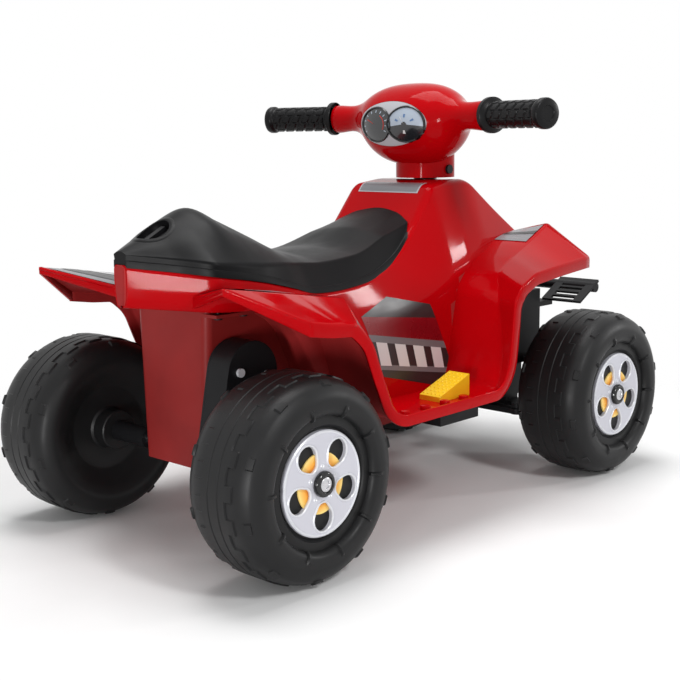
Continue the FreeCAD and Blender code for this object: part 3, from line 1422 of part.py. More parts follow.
def bumper_screw_holes():
    return [bumper_screw_line("bumper_screw_radius + running_fit", sign) for sign in SIDES.values()]


plates = [bumper_plate(sign) for sign in SIDES.values()]
keep("front_bumper", cut(joined(*plates, shaped(bar), tongue, foot), *bumper_screw_holes()))
keep("bumper_screws", group(*(bumper_screw(sign) for sign in SIDES.values())))
keep("front_carrier", cut(carrier, *bumper_screw_holes()))


# Battery in the hull, and the cables from it to the motor and to the pedal's switch

BATTERY_BOTTOM = f"({HULL_BOTTOM} + hull_wall)"
BATTERY_TOP = f"({BATTERY_BOTTOM} + battery_height)"
BATTERY_FRONT = "(battery_forward + battery_length / 2)"
battery_case = box(
    (f"{BATTERY_FRONT} - battery_length", BATTERY_FRONT), ("-battery_width / 2", "battery_width / 2"),
    (BATTERY_BOTTOM, BATTERY_TOP),
)
terminals = [
    box(
        ("battery_forward - terminal_length / 2", "battery_forward + terminal_length / 2"),
        (f"{sign} * terminal_spread - terminal_width / 2", f"{sign} * terminal_spread + terminal_width / 2"),
        (BATTERY_TOP, f"{BATTERY_TOP} + terminal_height"),
    )
    for sign in SIDES.values()
]
keep("battery", joined(battery_case, *terminals))


def cable(corners):
    """A round cable along straight runs joined by tangent arcs."""
    bend, radius = value("cable_bend"), value("cable_radius")
    edges = []
    start = corners[0]
    for before, corner, after in zip(corners, corners[1:], corners[2:]):
        back = (before - corner).normalize()
        ahead = (after - corner).normalize()
        half = back.getAngle(ahead) / 2
        middle = (back + ahead).normalize()
        arrive = corner + back * (bend / math.tan(half))
        leave = corner + ahead * (bend / math.tan(half))
        crown = corner + middle * (bend / math.sin(half) - bend)
        edges.append(Part.LineSegment(start, arrive).toShape())
        edges.append(Part.Arc(arrive, crown, leave).toShape())
        start = leave
    edges.append(Part.LineSegment(start, corners[-1]).toShape())
    path = Part.Wire(edges)
    ring = Part.Wire(Part.Circle(corners[0], corners[1] - corners[0], radius).toShape())
    solid = path.makePipeShell([ring], True, True)
    assert abs(solid.Volume / (math.pi * radius ** 2 * path.Length) - 1) < 0.02, "a cable is pinched"
    return solid


lean_of_train = math.radians(value("gear_lean_angle"))
motor_x = value(REAR) + value(SHAFT_MOTOR) * math.sin(lean_of_train)
motor_z = value(AXLE) + value(SHAFT_MOTOR) * math.cos(lean_of_train)
motor_y = -value(f"{MOTOR_BACK} - motor_boss_height")
cable_side = value("terminal_spread")
cable_top = value(CABLE_TOP)
motor_cable = cable(
    [
        spot("battery_forward", "terminal_spread", f"{BATTERY_TOP} + terminal_height"),
        spot("battery_forward", "terminal_spread", CABLE_TOP),
        Vector(motor_x, cable_side, cable_top),
        Vector(motor_x, cable_side, motor_z),
        Vector(motor_x, motor_y, motor_z),
    ]
)
switch_cable = cable(
    [
        spot(BATTERY_FRONT, "0", CABLE_Z),
        spot(SWITCH_X, "0", CABLE_Z),
        spot(SWITCH_X, f"{PEDAL_MID} + switch_width / 2", CABLE_Z),
    ]
)
keep("wiring_loom", shaped(Part.makeCompound([motor_cable, switch_cable])))


# Foot pedal on the right footboard, with its switch and spring in a housing below the floor

PEDAL_TOE = f"({PEDAL_HEEL} + pedal_length)"
PEDAL_FOOT = f"({FLOOR} - pedal_foot)"
HOUSING_TOP = f"({FLOOR} - wing_wall)"
HOUSING_FLOOR = f"({HOUSING_BOTTOM} + housing_wall)"
SWITCH_TOP = f"({HOUSING_FLOOR} + switch_height)"

pedal = new_body("pedal")
tread = new_sketch(pedal, "XZ_Plane", "pedal_inset")
polygon(
    tread,
    [
        (PEDAL_HEEL, PEDAL_FOOT),
        (PEDAL_TOE, PEDAL_FOOT),
        (PEDAL_TOE, f"{FLOOR} + pedal_toe"),
        (PEDAL_HEEL, f"{FLOOR} + pedal_heel"),
    ],
)
pad(pedal, tread, "pedal_width")
pivot = new_sketch(pedal, "XZ_Plane", "pedal_inset")
circle(pivot, "2 * pedal_pin_radius", PEDAL_PIN_X, PEDAL_PIN_Z)
pad(pedal, pivot, "pedal_width")
pivot_bore = new_sketch(pedal, "XZ_Plane", "pedal_inset")
circle(pivot_bore, "pedal_pin_radius + running_fit", PEDAL_PIN_X, PEDAL_PIN_Z)
pocket(pedal, pivot_bore, "pedal_width", forward=True)


def housing_block(inset, top):
    """The pedal housing's outer form, or its inner one."""
    margin = f"(housing_margin + housing_wall - ({inset}))"
    return box(
        (f"{PEDAL_HEEL} - {margin}", f"{PEDAL_TOE} + {margin}"),
        (f"-pedal_inset - pedal_width - {margin}", f"-pedal_inset + {margin}"),
        (f"{HOUSING_BOTTOM} + ({inset})", top),
    )


PIN_START = "(pedal_inset - housing_margin - housing_wall)"
PIN_SPAN = "(pedal_width + 2 * housing_margin + 2 * housing_wall)"
PIN_LINE = (PIN_SPAN, PEDAL_PIN_X, f"-{PIN_START}", PEDAL_PIN_Z, "-Y")
pin_hole = cylinder("pedal_pin_radius + running_fit", *PIN_LINE)
lead_hole = cylinder(
    "cable_radius + panel_gap", "housing_wall + housing_margin", SWITCH_X, f"-{PIN_START}", CABLE_Z, "-Y"
)
housing_inside = housing_block("housing_wall", f"{HOUSING_TOP} + overrun")
keep("pedal_housing", cut(housing_block("0", HOUSING_TOP), housing_inside, pin_hole, lead_hole))
keep("pedal_pin", cylinder("pedal_pin_radius", *PIN_LINE))

switch_case = box(
    (f"{SWITCH_X} - switch_length / 2", f"{SWITCH_X} + switch_length / 2"),
    (f"{PEDAL_MID} - switch_width / 2", f"{PEDAL_MID} + switch_width / 2"),
    (HOUSING_FLOOR, SWITCH_TOP),
)
plunger_hole = cylinder("plunger_radius + running_fit", "switch_height", SWITCH_X, PEDAL_MID, HOUSING_FLOOR)
keep("pedal_switch", cut(switch_case, plunger_hole))
PLUNGER_BOTTOM = f"({HOUSING_FLOOR} + switch_height / 2)"
PLUNGER_LENGTH = f"{PEDAL_FOOT} - panel_gap - {PLUNGER_BOTTOM}"
keep("switch_plunger", cylinder("plunger_radius", PLUNGER_LENGTH, SWITCH_X, PEDAL_MID, PLUNGER_BOTTOM))

spring_rise = value(f"{PEDAL_FOOT} - {HOUSING_FLOOR} - 2 * spring_wire - 2 * running_fit")
coil = Part.makeHelix(spring_rise / SPRING_TURNS, spring_rise, value("spring_radius"))
wire_circle = Part.Circle(spot("spring_radius", "0", "0"), Vector(0, 1, 0), value("spring_wire"))
spring = Part.Wire(coil).makePipeShell([Part.Wire(wire_circle.toShape())], True, True)
SPRING_FOOT = f"{HOUSING_FLOOR} + spring_wire + running_fit"
spring.translate(spot(f"{PEDAL_PIN_X} + spring_ahead", PEDAL_MID, SPRING_FOOT))
keep("pedal_spring", shaped(spring))


# Every piece is checked and written to its own file

doc.recompute()
for feature in doc.Objects:
    assert not {"Invalid", "Error"} & set(feature.State), f"{feature.Label} did not recompute"
os.makedirs("parts", exist_ok=True)
for piece in pieces:
    assert not piece.Shape.isNull() and piece.Shape.isValid(), f"{piece.Label} is not a valid shape"
    piece.Shape.exportStep(f"parts/{piece.Label}.step")
print(len(pieces), "pieces written")
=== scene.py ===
import math

import bpy
import numpy as np
from mathutils import Matrix, Vector
from mathutils.bvhtree import BVHTree


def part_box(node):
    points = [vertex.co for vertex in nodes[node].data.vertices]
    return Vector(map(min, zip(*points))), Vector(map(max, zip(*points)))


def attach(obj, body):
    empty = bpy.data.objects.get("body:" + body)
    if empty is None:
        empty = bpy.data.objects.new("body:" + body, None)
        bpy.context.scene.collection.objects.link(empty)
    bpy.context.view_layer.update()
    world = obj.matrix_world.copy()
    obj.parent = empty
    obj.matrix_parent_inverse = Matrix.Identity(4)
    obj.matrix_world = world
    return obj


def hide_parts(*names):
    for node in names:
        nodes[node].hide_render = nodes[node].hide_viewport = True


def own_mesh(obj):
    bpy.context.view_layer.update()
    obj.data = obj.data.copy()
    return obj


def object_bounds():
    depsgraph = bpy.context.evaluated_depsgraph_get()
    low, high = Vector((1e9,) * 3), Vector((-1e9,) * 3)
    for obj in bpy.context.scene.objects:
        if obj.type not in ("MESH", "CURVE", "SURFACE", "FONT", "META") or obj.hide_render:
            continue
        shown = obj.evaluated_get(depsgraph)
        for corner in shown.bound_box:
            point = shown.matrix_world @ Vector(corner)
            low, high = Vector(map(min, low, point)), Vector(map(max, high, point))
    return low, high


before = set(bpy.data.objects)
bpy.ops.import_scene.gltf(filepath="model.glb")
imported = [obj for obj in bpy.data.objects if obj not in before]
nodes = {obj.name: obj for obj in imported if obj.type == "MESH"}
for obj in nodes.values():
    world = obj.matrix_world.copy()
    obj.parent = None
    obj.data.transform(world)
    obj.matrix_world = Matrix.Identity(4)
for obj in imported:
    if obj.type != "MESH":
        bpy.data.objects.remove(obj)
cad_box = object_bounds()

MM = 0.001
LEFT, RIGHT = 1, -1
SIDES = {"left": LEFT, "right": RIGHT}

# Places and reference lengths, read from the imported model
wheel_low, wheel_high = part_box("tyre_front_left")
_, shell_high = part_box("body_shell")
rim_low, rim_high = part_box("rim_trim_front_left")
HALF_BASE = (wheel_low.x + wheel_high.x) / 2
AXLE = (wheel_low.z + wheel_high.z) / 2
WHEEL_RADIUS = (wheel_high.z - wheel_low.z) / 2
BODY_RISE = shell_high.z - AXLE
FENDER_HALF = shell_high.y
BODY_SCALE = (HALF_BASE, FENDER_HALF, BODY_RISE)
TYRE_HALF = 43 * MM
TYRE_MID = wheel_high.y - TYRE_HALF
RIM_SEAT, RIM_FACE = rim_low.y, rim_high.y
WHEELS = {
    f"{end}_{hand}": (way * HALF_BASE, side)
    for end, way in (("front", 1), ("rear", -1))
    for hand, side in SIDES.items()
}

# Body spine: station along half the wheelbase, then the half section from the keel to the top edge
SPINE_SHARES = (
    (-1.275, (0.034, 0.583), (0.048, 0.612), (0.054, 0.678), (0.054, 0.729), (0.040, 0.742)),
    (-1.153, (0.215, 0.572), (0.237, 0.595), (0.246, 0.657), (0.240, 0.711), (0.215, 0.723)),
    (-1.047, (0.373, 0.562), (0.404, 0.587), (0.418, 0.640), (0.412, 0.692), (0.384, 0.705)),
    (-0.953, (0.407, 0.558), (0.435, 0.583), (0.446, 0.628), (0.438, 0.678), (0.407, 0.690)),
    (-0.847, (0.424, 0.554), (0.449, 0.579), (0.460, 0.618), (0.452, 0.659), (0.418, 0.671)),
    (-0.699, (0.441, 0.479), (0.463, 0.529), (0.472, 0.585), (0.460, 0.624), (0.424, 0.636)),
    (-0.572, (0.486, 0.231), (0.494, 0.322), (0.483, 0.504), (0.458, 0.591), (0.418, 0.605)),
    (-0.458, (0.531, 0.103), (0.528, 0.174), (0.492, 0.446), (0.449, 0.587), (0.412, 0.601)),
    (-0.254, (0.531, 0.103), (0.528, 0.174), (0.486, 0.455), (0.424, 0.599), (0.390, 0.614)),
    (-0.034, (0.531, 0.103), (0.528, 0.174), (0.486, 0.471), (0.373, 0.661), (0.339, 0.676)),
    (0.110, (0.531, 0.103), (0.528, 0.174), (0.486, 0.508), (0.339, 0.760), (0.311, 0.773)),
    (0.275, (0.525, 0.103), (0.525, 0.190), (0.489, 0.584), (0.328, 0.962), (0.294, 0.982)),
    (0.424, (0.452, 0.198), (0.492, 0.302), (0.477, 0.636), (0.316, 0.986), (0.282, 1.000)),
    (0.572, (0.373, 0.364), (0.446, 0.421), (0.446, 0.661), (0.294, 0.988), (0.260, 1.000)),
    (0.784, (0.311, 0.459), (0.379, 0.492), (0.379, 0.669), (0.288, 0.847), (0.260, 0.860)),
    (1.008, (0.271, 0.496), (0.322, 0.517), (0.328, 0.636), (0.282, 0.713), (0.249, 0.727)),
    (1.068, (0.226, 0.521), (0.266, 0.537), (0.266, 0.616), (0.243, 0.669), (0.215, 0.682)),
)

# Saddle: shoulder, crown and ridge of the half section at each of the spine's first stations
SEAT_SHARES = (
    ((0.051, 0.781), (0.028, 0.789), (0, 0.793)),
    ((0.237, 0.764), (0.113, 0.822), (0, 0.845)),
    ((0.407, 0.746), (0.158, 0.864), (0, 0.899)),
    ((0.424, 0.736), (0.169, 0.893), (0, 0.936)),
    ((0.424, 0.727), (0.192, 0.847), (0, 0.893)),
    ((0.395, 0.719), (0.203, 0.789), (0, 0.826)),
    ((0.356, 0.709), (0.198, 0.742), (0, 0.764)),
    ((0.347, 0.702), (0.192, 0.723), (0, 0.736)),
    ((0.339, 0.715), (0.186, 0.729), (0, 0.738)),
    ((0.299, 0.777), (0.169, 0.795), (0, 0.806)),
    ((0.282, 0.826), (0.158, 0.864), (0, 0.880)),
)

# Fender, footboard and front fender as one sheet: lip's foot, crease, root, and the upper side's angle
WING_SHARES = (
    ((-1.008, 0.994, 0.517), (-1.267, 0.768, 0.698), (-1.110, 0.288, 0.624), 90),
    ((-0.898, 1.000, 0.500), (-1.059, 0.723, 0.665), (-0.941, 0.412, 0.640), 90),
    ((-0.846, 1.000, 0.496), (-0.826, 0.688, 0.628), (-0.805, 0.435, 0.624), 85),
    ((-0.795, 1.000, 0.492), (-0.550, 0.638, 0.585), (-0.620, 0.441, 0.600), 60),
    ((-0.725, 1.000, 0.435), (-0.567, 0.722, 0.497), (-0.601, 0.450, 0.538), 30),
    ((-0.684, 1.000, 0.336), (-0.593, 0.847, 0.364), (-0.572, 0.463, 0.446), 22),
    ((-0.606, 1.000, 0.160), (-0.517, 0.915, 0.174), (-0.500, 0.486, 0.198), 35),
    ((-0.517, 1.000, 0.107), (-0.458, 0.921, 0.120), (-0.458, 0.508, 0.120), 80),
    ((0.119, 1.000, 0.112), (0.119, 0.921, 0.120), (0.119, 0.508, 0.120), 95),
    ((0.182, 1.000, 0.153), (0.174, 0.921, 0.145), (0.174, 0.508, 0.145), 130),
    ((0.229, 1.000, 0.223), (0.212, 0.915, 0.223), (0.212, 0.508, 0.223), 160),
    ((0.250, 1.000, 0.347), (0.237, 0.893, 0.355), (0.246, 0.492, 0.355), 178),
    ((0.263, 1.000, 0.488), (0.280, 0.825, 0.504), (0.305, 0.475, 0.537), 165),
    ((0.309, 0.994, 0.533), (0.390, 0.712, 0.603), (0.381, 0.446, 0.603), 130),
    ((0.411, 0.977, 0.566), (0.551, 0.650, 0.653), (0.508, 0.412, 0.661), 105),
    ((0.657, 0.932, 0.579), (0.763, 0.599, 0.719), (0.720, 0.339, 0.727), 95),
    ((0.958, 0.864, 0.587), (0.928, 0.571, 0.785), (0.941, 0.271, 0.736), 90),
)

# Tyre skin from the inner dish over the crown to the rim, as shares of radius and half width
TYRE_SHARES = (
    (0.44, -0.66), (0.56, -0.80), (0.68, -0.93), (0.78, -1.00), (0.87, -0.95), (0.95, -0.81), (0.99, -0.60),
    (1.00, -0.37), (1.00, 0.0), (1.00, 0.37), (0.99, 0.60), (0.95, 0.81), (0.87, 0.94), (0.78, 1.00),
    (0.70, 0.99), (0.65, 0.93), (0.63, 0.84),
)

# Surfaces

SHARP, ARC, ARC_FILL, ARC_MOST = 40, 7, 4, 0.45
WELD_GAP, SOFT_EDGE, UPRIGHT = 0.01 * MM, 0.6 * MM, 0.9


def smooth_rows(keys, rows, at):
    """Rows between the given ones, along curves that never overshoot them."""
    keys = np.asarray(keys, float)
    rows = np.asarray(rows, float)
    shape = rows.shape[1:]
    rows = rows.reshape(len(keys), -1)
    step = np.diff(keys)
    slope = np.diff(rows, axis=0) / step[:, None]
    tangent = np.zeros_like(rows)
    tangent[0], tangent[-1] = slope[0], slope[-1]
    before, after = slope[:-1], slope[1:]
    near = (2 * step[1:] + step[:-1])[:, None]
    far = (step[1:] + 2 * step[:-1])[:, None]
    same = before * after > 0
    blend = near / np.where(same, before, 1) + far / np.where(same, after, 1)
    tangent[1:-1] = np.where(same, (near + far) / np.where(same, blend, 1), 0)
    place = np.clip(np.searchsorted(keys, at, side="right") - 1, 0, len(keys) - 2)
    width = step[place][:, None]
    u = ((at - keys[place]) / step[place])[:, None]
    low, high = rows[place], rows[place + 1]
    result = (
        (2 * u ** 3 - 3 * u ** 2 + 1) * low + (u ** 3 - 2 * u ** 2 + u) * width * tangent[place]
        + (3 * u ** 2 - 2 * u ** 3) * high + (u ** 3 - u ** 2) * width * tangent[place + 1]
    )
    return result.reshape(len(at), *shape)


def rounded(corners, reaches, arc):
    """Sections with each inner corner turned into a short arc of the given reach."""
    parts = [corners[:, :1]]
    for index, reach in enumerate(reaches, 1):
        here = corners[:, index]
        back, ahead = corners[:, index - 1] - here, corners[:, index + 1] - here
        back_length = np.linalg.norm(back, axis=1, keepdims=True)
        ahead_length = np.linalg.norm(ahead, axis=1, keepdims=True)
        span = np.minimum(reach, ARC_MOST * np.minimum(back_length, ahead_length))
        start, end = here + back / back_length * span, here + ahead / ahead_length * span
        for u in np.linspace(0, 1, arc):
            point = (1 - u) ** 2 * start + 2 * u * (1 - u) * here + u ** 2 * end
            parts.append(point[:, None])
    parts.append(corners[:, -1:])
    return np.concatenate(parts, axis=1)


def new_piece(name, points, faces, look, body, sharp=SHARP):
    mesh = bpy.data.meshes.new(name)
    mesh.from_pydata([tuple(point) for point in points], [], faces)
    mesh.materials.append(look)
    mesh.polygons.foreach_set("use_smooth", [True] * len(mesh.polygons))
    mesh.update()
    mesh.validate()
    mesh.set_sharp_from_angle(angle=math.radians(sharp))
    piece = bpy.data.objects.new(name, mesh)
    bpy.context.scene.collection.objects.link(piece)
    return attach(piece, body)


def grid_faces(rows, columns, wrap_rows=False, wrap_columns=False, keep=None):
    faces = []
    for i in range(rows if wrap_rows else rows - 1):
        for j in range(columns if wrap_columns else columns - 1):
            if keep is None or keep[i, j]:
                a, b = i * columns, (i + 1) % rows * columns
                k = (j + 1) % columns
                faces.append((a + j, a + k, b + k, b + j))
    return faces


def end_faces(rows, columns):
    """Faces that close the first and the last row of a grid."""
    last = (rows - 1) * columns
    return [tuple(range(columns)), tuple(last + j for j in reversed(range(columns)))]


def grids_piece(name, grids, look, body, slot, flip=False, sharp=SHARP, **wraps):
    """One piece from grids of points."""
    points, faces = [], []
    for grid in grids:
        rows, columns = grid.shape[:2]
        faces += [tuple(len(points) + index for index in face) for face in grid_faces(rows, columns, **wraps)]
        points += list(grid.reshape(-1, 3))
    if flip:
        faces = [face[::-1] for face in faces]
    return new_piece(name, points, faces, look, body, sharp)


def modifier(piece, kind, **settings):
    added = piece.modifiers.new(kind.lower(), kind)
    for key, setting in settings.items():
        setattr(added, key, setting)


def thicken(piece, thickness, lining):
    """Gives a skin its wall, with another look on the inside."""
    piece.data.materials.append(lining)
    modifier(piece, "SOLIDIFY", thickness=thickness, offset=-1, use_even_offset=False, material_offset=1)
    modifier(piece, "WEIGHTED_NORMAL", keep_sharp=True)


def soften(node):
    """Small rounded edges and even shading on a kept CAD node."""
    piece = nodes[node]
    modifier(piece, "WELD", merge_threshold=WELD_GAP)
    modifier(
        piece, "BEVEL", width=SOFT_EDGE, segments=2, limit_method="ANGLE", angle_limit=math.radians(SHARP)
    )
    modifier(piece, "WEIGHTED_NORMAL")


def sideways(points, factor):
    """Points with their distance from the middle plane times a factor, -1 to mirror them."""
    return points * np.array([1, factor, 1])


def place(share_x, across, up):
    """A point of the body from its shares."""
    x, y, z = (np.asarray(share) * scale for share, scale in zip((share_x, across, up), BODY_SCALE))
    return np.stack(np.broadcast_arrays(x, y, AXLE + z), axis=-1)


def bent(corners, reaches):
    """Rows along straight runs from station to station, with a short arc of the given reach at each."""
    turned = rounded(np.swapaxes(corners, 0, 1), reaches, ARC)
    rows = np.swapaxes(turned, 0, 1)
    result = []
    for index in range(len(rows) - 1):
        count = ARC_FILL if index % ARC == 0 else 1
        for u in np.arange(count) / count:
            result.append((1 - u) * rows[index] + u * rows[index + 1])
    return np.array([*result, rows[-1]])


def straddling(edges, low, high, count, gap):
    """Even samples from low to high, with a pair close around each edge so that steps stay crisp."""
    samples = np.linspace(low, high, count)
    even = [at for at in samples if all(abs(at - edge) > 2 * gap for edge in edges)]
    return np.array(sorted([*even, *(edge + way * gap for edge in edges for way in (-1, 1))]))


def ways_round(axis, count):
    """Unit vectors evenly round an axis."""
    across = np.cross(axis, (0, 0, 1) if abs(axis[2]) < UPRIGHT else (1, 0, 0))
    across /= np.linalg.norm(across)
    turns = np.linspace(0, 2 * math.pi, count, endpoint=False)[:, None]
    return np.cos(turns) * across + np.sin(turns) * np.cross(axis, across)


def lathe(profile, centre, axis, count):
    """A grid round an axis, from (radius, distance along the axis) pairs."""
    axis = np.array(axis, float) / np.linalg.norm(axis)
    ways = ways_round(axis, count)[:, None]
    return np.array(centre) + profile[:, :1] * ways + profile[:, 1:] * axis


def cover(*pieces):
    """What decals are laid on: the faces of pieces, without their modifiers."""
    bpy.context.view_layer.update()
    points, faces = [], []
    for piece in pieces:
        base = len(points)
        points += [piece.matrix_world @ vertex.co for vertex in piece.data.vertices]
        faces += [[base + index for index in polygon.vertices] for polygon in piece.data.polygons]
    return BVHTree.FromPolygons(points, faces)


def drape(points, way, target, lifts):
    """A grid of points moved along a direction onto a cover, and lifted off it."""
    way = Vector(way).normalized()
    lifts = np.broadcast_to(lifts, points.shape[:2])
    result = np.empty_like(points)
    for i, j in np.ndindex(points.shape[:2]):
        hit, normal, _, _ = target.ray_cast(Vector(points[i, j]) - way, way)
        if hit is None:
            hit, normal, _, _ = target.find_nearest(Vector(points[i, j]))
        normal = -normal if normal.dot(way) > 0 else normal
        result[i, j] = hit + normal * lifts[i, j]
    return result


def patch(corners, rows, columns):
    """A grid of points between four corners, listed round the patch."""
    a, b, c, d = (np.array(corner, float) for corner in corners)
    u = np.linspace(0, 1, columns)[None, :, None]
    v = np.linspace(0, 1, rows)[:, None, None]
    return (1 - v) * ((1 - u) * a + u * b) + v * ((1 - u) * d + u * c)


# Materials

CLOUD_SCALE, CLOUD_DETAIL = 14, 5
SCUFF_SCALE, SCUFF_DETAIL = 60, 8
GRAIN_DETAIL = 3
MOTTLE_STOPS = (0.3, 0.7)
LEAST_ROUGHNESS = 0.02


def link(tree, source, output, target, socket):
    tree.links.new(source.outputs[output], target.inputs[socket])


def set_sockets(node, sockets):
    for socket, number in sockets.items():
        node.inputs[socket.replace("_", " ")].default_value = number


def add(tree, kind, operation=None, **sockets):
    """A new shader node, with numbers on its sockets."""
    node = tree.nodes.new(f"ShaderNode{kind}")
    if operation:
        node.operation = operation
    set_sockets(node, sockets)
    return node


def noise(tree, coordinates, scale, detail):
    texture = add(tree, "TexNoise", Scale=scale, Detail=detail)
    link(tree, coordinates, "Object", texture, "Vector")
    return texture


def moulded(name, color, roughness, grain, depth, mottle, spread, **sockets):
    """Moulded plastic or plated metal, with mottled colour, uneven gloss and a fine grain."""
    look = bpy.data.materials.new(name)
    look.use_nodes = True
    tree = look.node_tree
    shader = tree.nodes["Principled BSDF"]
    set_sockets(shader, sockets)
    coordinates = add(tree, "TexCoord")
    cloud = noise(tree, coordinates, CLOUD_SCALE, CLOUD_DETAIL)
    ramp = add(tree, "ValToRGB")
    for stop, place_of, factor in zip(ramp.color_ramp.elements, MOTTLE_STOPS, (1 - mottle, 1 + mottle)):
        stop.position = place_of
        stop.color = (*(min(1, channel * factor) for channel in color), 1)
    link(tree, cloud, "Fac", ramp, "Fac")
    link(tree, ramp, "Color", shader, "Base Color")
    scuff = noise(tree, coordinates, SCUFF_SCALE, SCUFF_DETAIL)
    least, most = max(LEAST_ROUGHNESS, roughness - spread), min(1, roughness + spread)
    gloss = add(tree, "MapRange", To_Min=least, To_Max=most)
    link(tree, scuff, "Fac", gloss, "Value")
    link(tree, gloss, "Result", shader, "Roughness")
    texture = noise(tree, coordinates, grain, GRAIN_DETAIL)
    bump = add(tree, "Bump", Strength=1, Distance=depth * MM)
    link(tree, texture, "Fac", bump, "Height")
    link(tree, bump, "Normal", shader, "Normal")
    return look


def ringed(look, stops):
    """Colours a look by the distance from the nearest axle, as (millimetres, colour) stops."""
    tree = look.node_tree
    fold = add(tree, "VectorMath", "ABSOLUTE")
    link(tree, add(tree, "TexCoord"), "Object", fold, "Vector")
    flat = add(tree, "VectorMath", "MULTIPLY_ADD")
    flat.inputs[1].default_value = (1, 0, 1)
    flat.inputs[2].default_value = (-HALF_BASE, 0, -AXLE)
    link(tree, fold, "Vector", flat, 0)
    reach = add(tree, "VectorMath", "LENGTH")
    link(tree, flat, "Vector", reach, 0)
    span = stops[-1][0] * MM
    scale = add(tree, "Math", "DIVIDE")
    scale.inputs[1].default_value = span
    link(tree, reach, "Value", scale, 0)
    ramp = add(tree, "ValToRGB")
    link(tree, scale, "Value", ramp, "Fac")
    while len(ramp.color_ramp.elements) < len(stops):
        ramp.color_ramp.elements.new(1)
    for stop, (at, color) in zip(ramp.color_ramp.elements, stops):
        stop.position = at * MM / span
        stop.color = (*color, 1)
    link(tree, ramp, "Color", tree.nodes["Principled BSDF"], "Base Color")
    return look


# Each look: colour, roughness, scale of its grain and depth in mm, mottle, spread of the roughness
RED = moulded("gloss_red", (0.455, 0.0010, 0.0035), 0.08, 40, 0.05, 0.05, 0.03, Specular_IOR_Level=0.055)
HULL_RED = moulded("grained_red", (0.24, 0.016, 0.015), 0.42, 1100, 0.05, 0.16, 0.1, Specular_IOR_Level=0.14)
# Matte red for the wheel wells and the inner faces: the matte finish is the plastic's own, its darker tone is
# painted shade
SHADED_WELL_RED = moulded("well_red_painted_shade", (0.36, 0.026, 0.026), 0.5, 1100, 0.05, 0.16, 0.1, Specular_IOR_Level=0.1)
SEAT_BLACK = moulded(
    "saddle_black", (0.005, 0.005, 0.0055), 0.4, 1400, 0.03, 0.12, 0.08, Specular_IOR_Level=0.1
)
BLACK = moulded("grained_black", (0.008, 0.008, 0.009), 0.44, 1200, 0.05, 0.2, 0.1, Specular_IOR_Level=0.14)
GLOSS_BLACK = moulded("gloss_black", (0.006, 0.006, 0.007), 0.14, 900, 0.01, 0.2, 0.05)
WHEEL_BLACK = moulded(
    "wheel_black", (0.010, 0.010, 0.0105), 0.42, 1300, 0.06, 0.2, 0.1, Specular_IOR_Level=0.22
)
GRIP_BLACK = moulded(
    "grip_black", (0.006, 0.006, 0.0065), 0.34, 1500, 0.04, 0.2, 0.08, Specular_IOR_Level=0.15
)
SILVER = moulded("silver_paint", (0.60, 0.60, 0.66), 0.36, 2600, 0.012, 0.04, 0.06, Metallic=0.2)
PALE_SILVER = moulded("pale_silver", (0.70, 0.71, 0.75), 0.3, 2600, 0.012, 0.04, 0.06, Metallic=0.2)
# Amber brake discs, dark orange near the axle and pale yellow-orange towards the edge: a painted glow
ORANGE_PAINTED_GLOW = ringed(
    moulded("amber_disc_painted_glow", (0.88, 0.30, 0.03), 0.3, 120, 0.02, 0.22, 0.06),
    ((0, (0.80, 0.16, 0.01)), (15, (0.90, 0.26, 0.02)), (21, (1.0, 0.48, 0.06)), (27, (1.0, 0.72, 0.22))),
)
STEEL = moulded("plated_steel", (0.58, 0.58, 0.60), 0.26, 1800, 0.01, 0.06, 0.1, Metallic=1.0)
YELLOW = moulded("pedal_yellow", (0.86, 0.55, 0.015), 0.3, 800, 0.03, 0.06, 0.08, Specular_IOR_Level=0.3)
NYLON = moulded("gear_nylon", (0.72, 0.70, 0.62), 0.45, 900, 0.03, 0.04, 0.08)
CASE_GREY = moulded("battery_case", (0.06, 0.065, 0.08), 0.5, 700, 0.05, 0.1, 0.1)
PANEL_GREY = moulded("panel_grey", (0.20, 0.20, 0.215), 0.3, 900, 0.02, 0.08, 0.08)
PALE_GREY = moulded("panel_pale", (0.46, 0.46, 0.49), 0.3, 900, 0.02, 0.06, 0.08)
DARK_GREY = moulded("decal_dark", (0.022, 0.021, 0.022), 0.3, 900, 0.01, 0.2, 0.06)
MID_GREY = moulded("decal_grey", (0.17, 0.17, 0.18), 0.3, 900, 0.01, 0.1, 0.06)
WHITE = moulded("decal_white", (0.70, 0.70, 0.70), 0.35, 900, 0.01, 0.03, 0.06, Specular_IOR_Level=0.2)
DARK_RED = moulded("decal_dark_red", (0.22, 0.003, 0.008), 0.28, 900, 0.01, 0.25, 0.06)
DIAL_BLACK = moulded("dial_black", (0.012, 0.013, 0.016), 0.2, 900, 0.01, 0.15, 0.06, Coat_Weight=0.6)
DIAL_PALE = moulded("dial_pale", (0.40, 0.47, 0.56), 0.2, 900, 0.01, 0.08, 0.06, Coat_Weight=0.6)
DIAL_BLUE = moulded("dial_blue", (0.08, 0.17, 0.36), 0.2, 900, 0.01, 0.1, 0.06, Coat_Weight=0.6)
NEEDLE_RED = moulded("needle_red", (0.55, 0.02, 0.01), 0.35, 900, 0.01, 0.05, 0.06)
CABLE = moulded("cable_black", (0.012, 0.012, 0.012), 0.45, 500, 0.02, 0.15, 0.08)

# Body shell: spine and tank in one skin, with the battery opening under the saddle

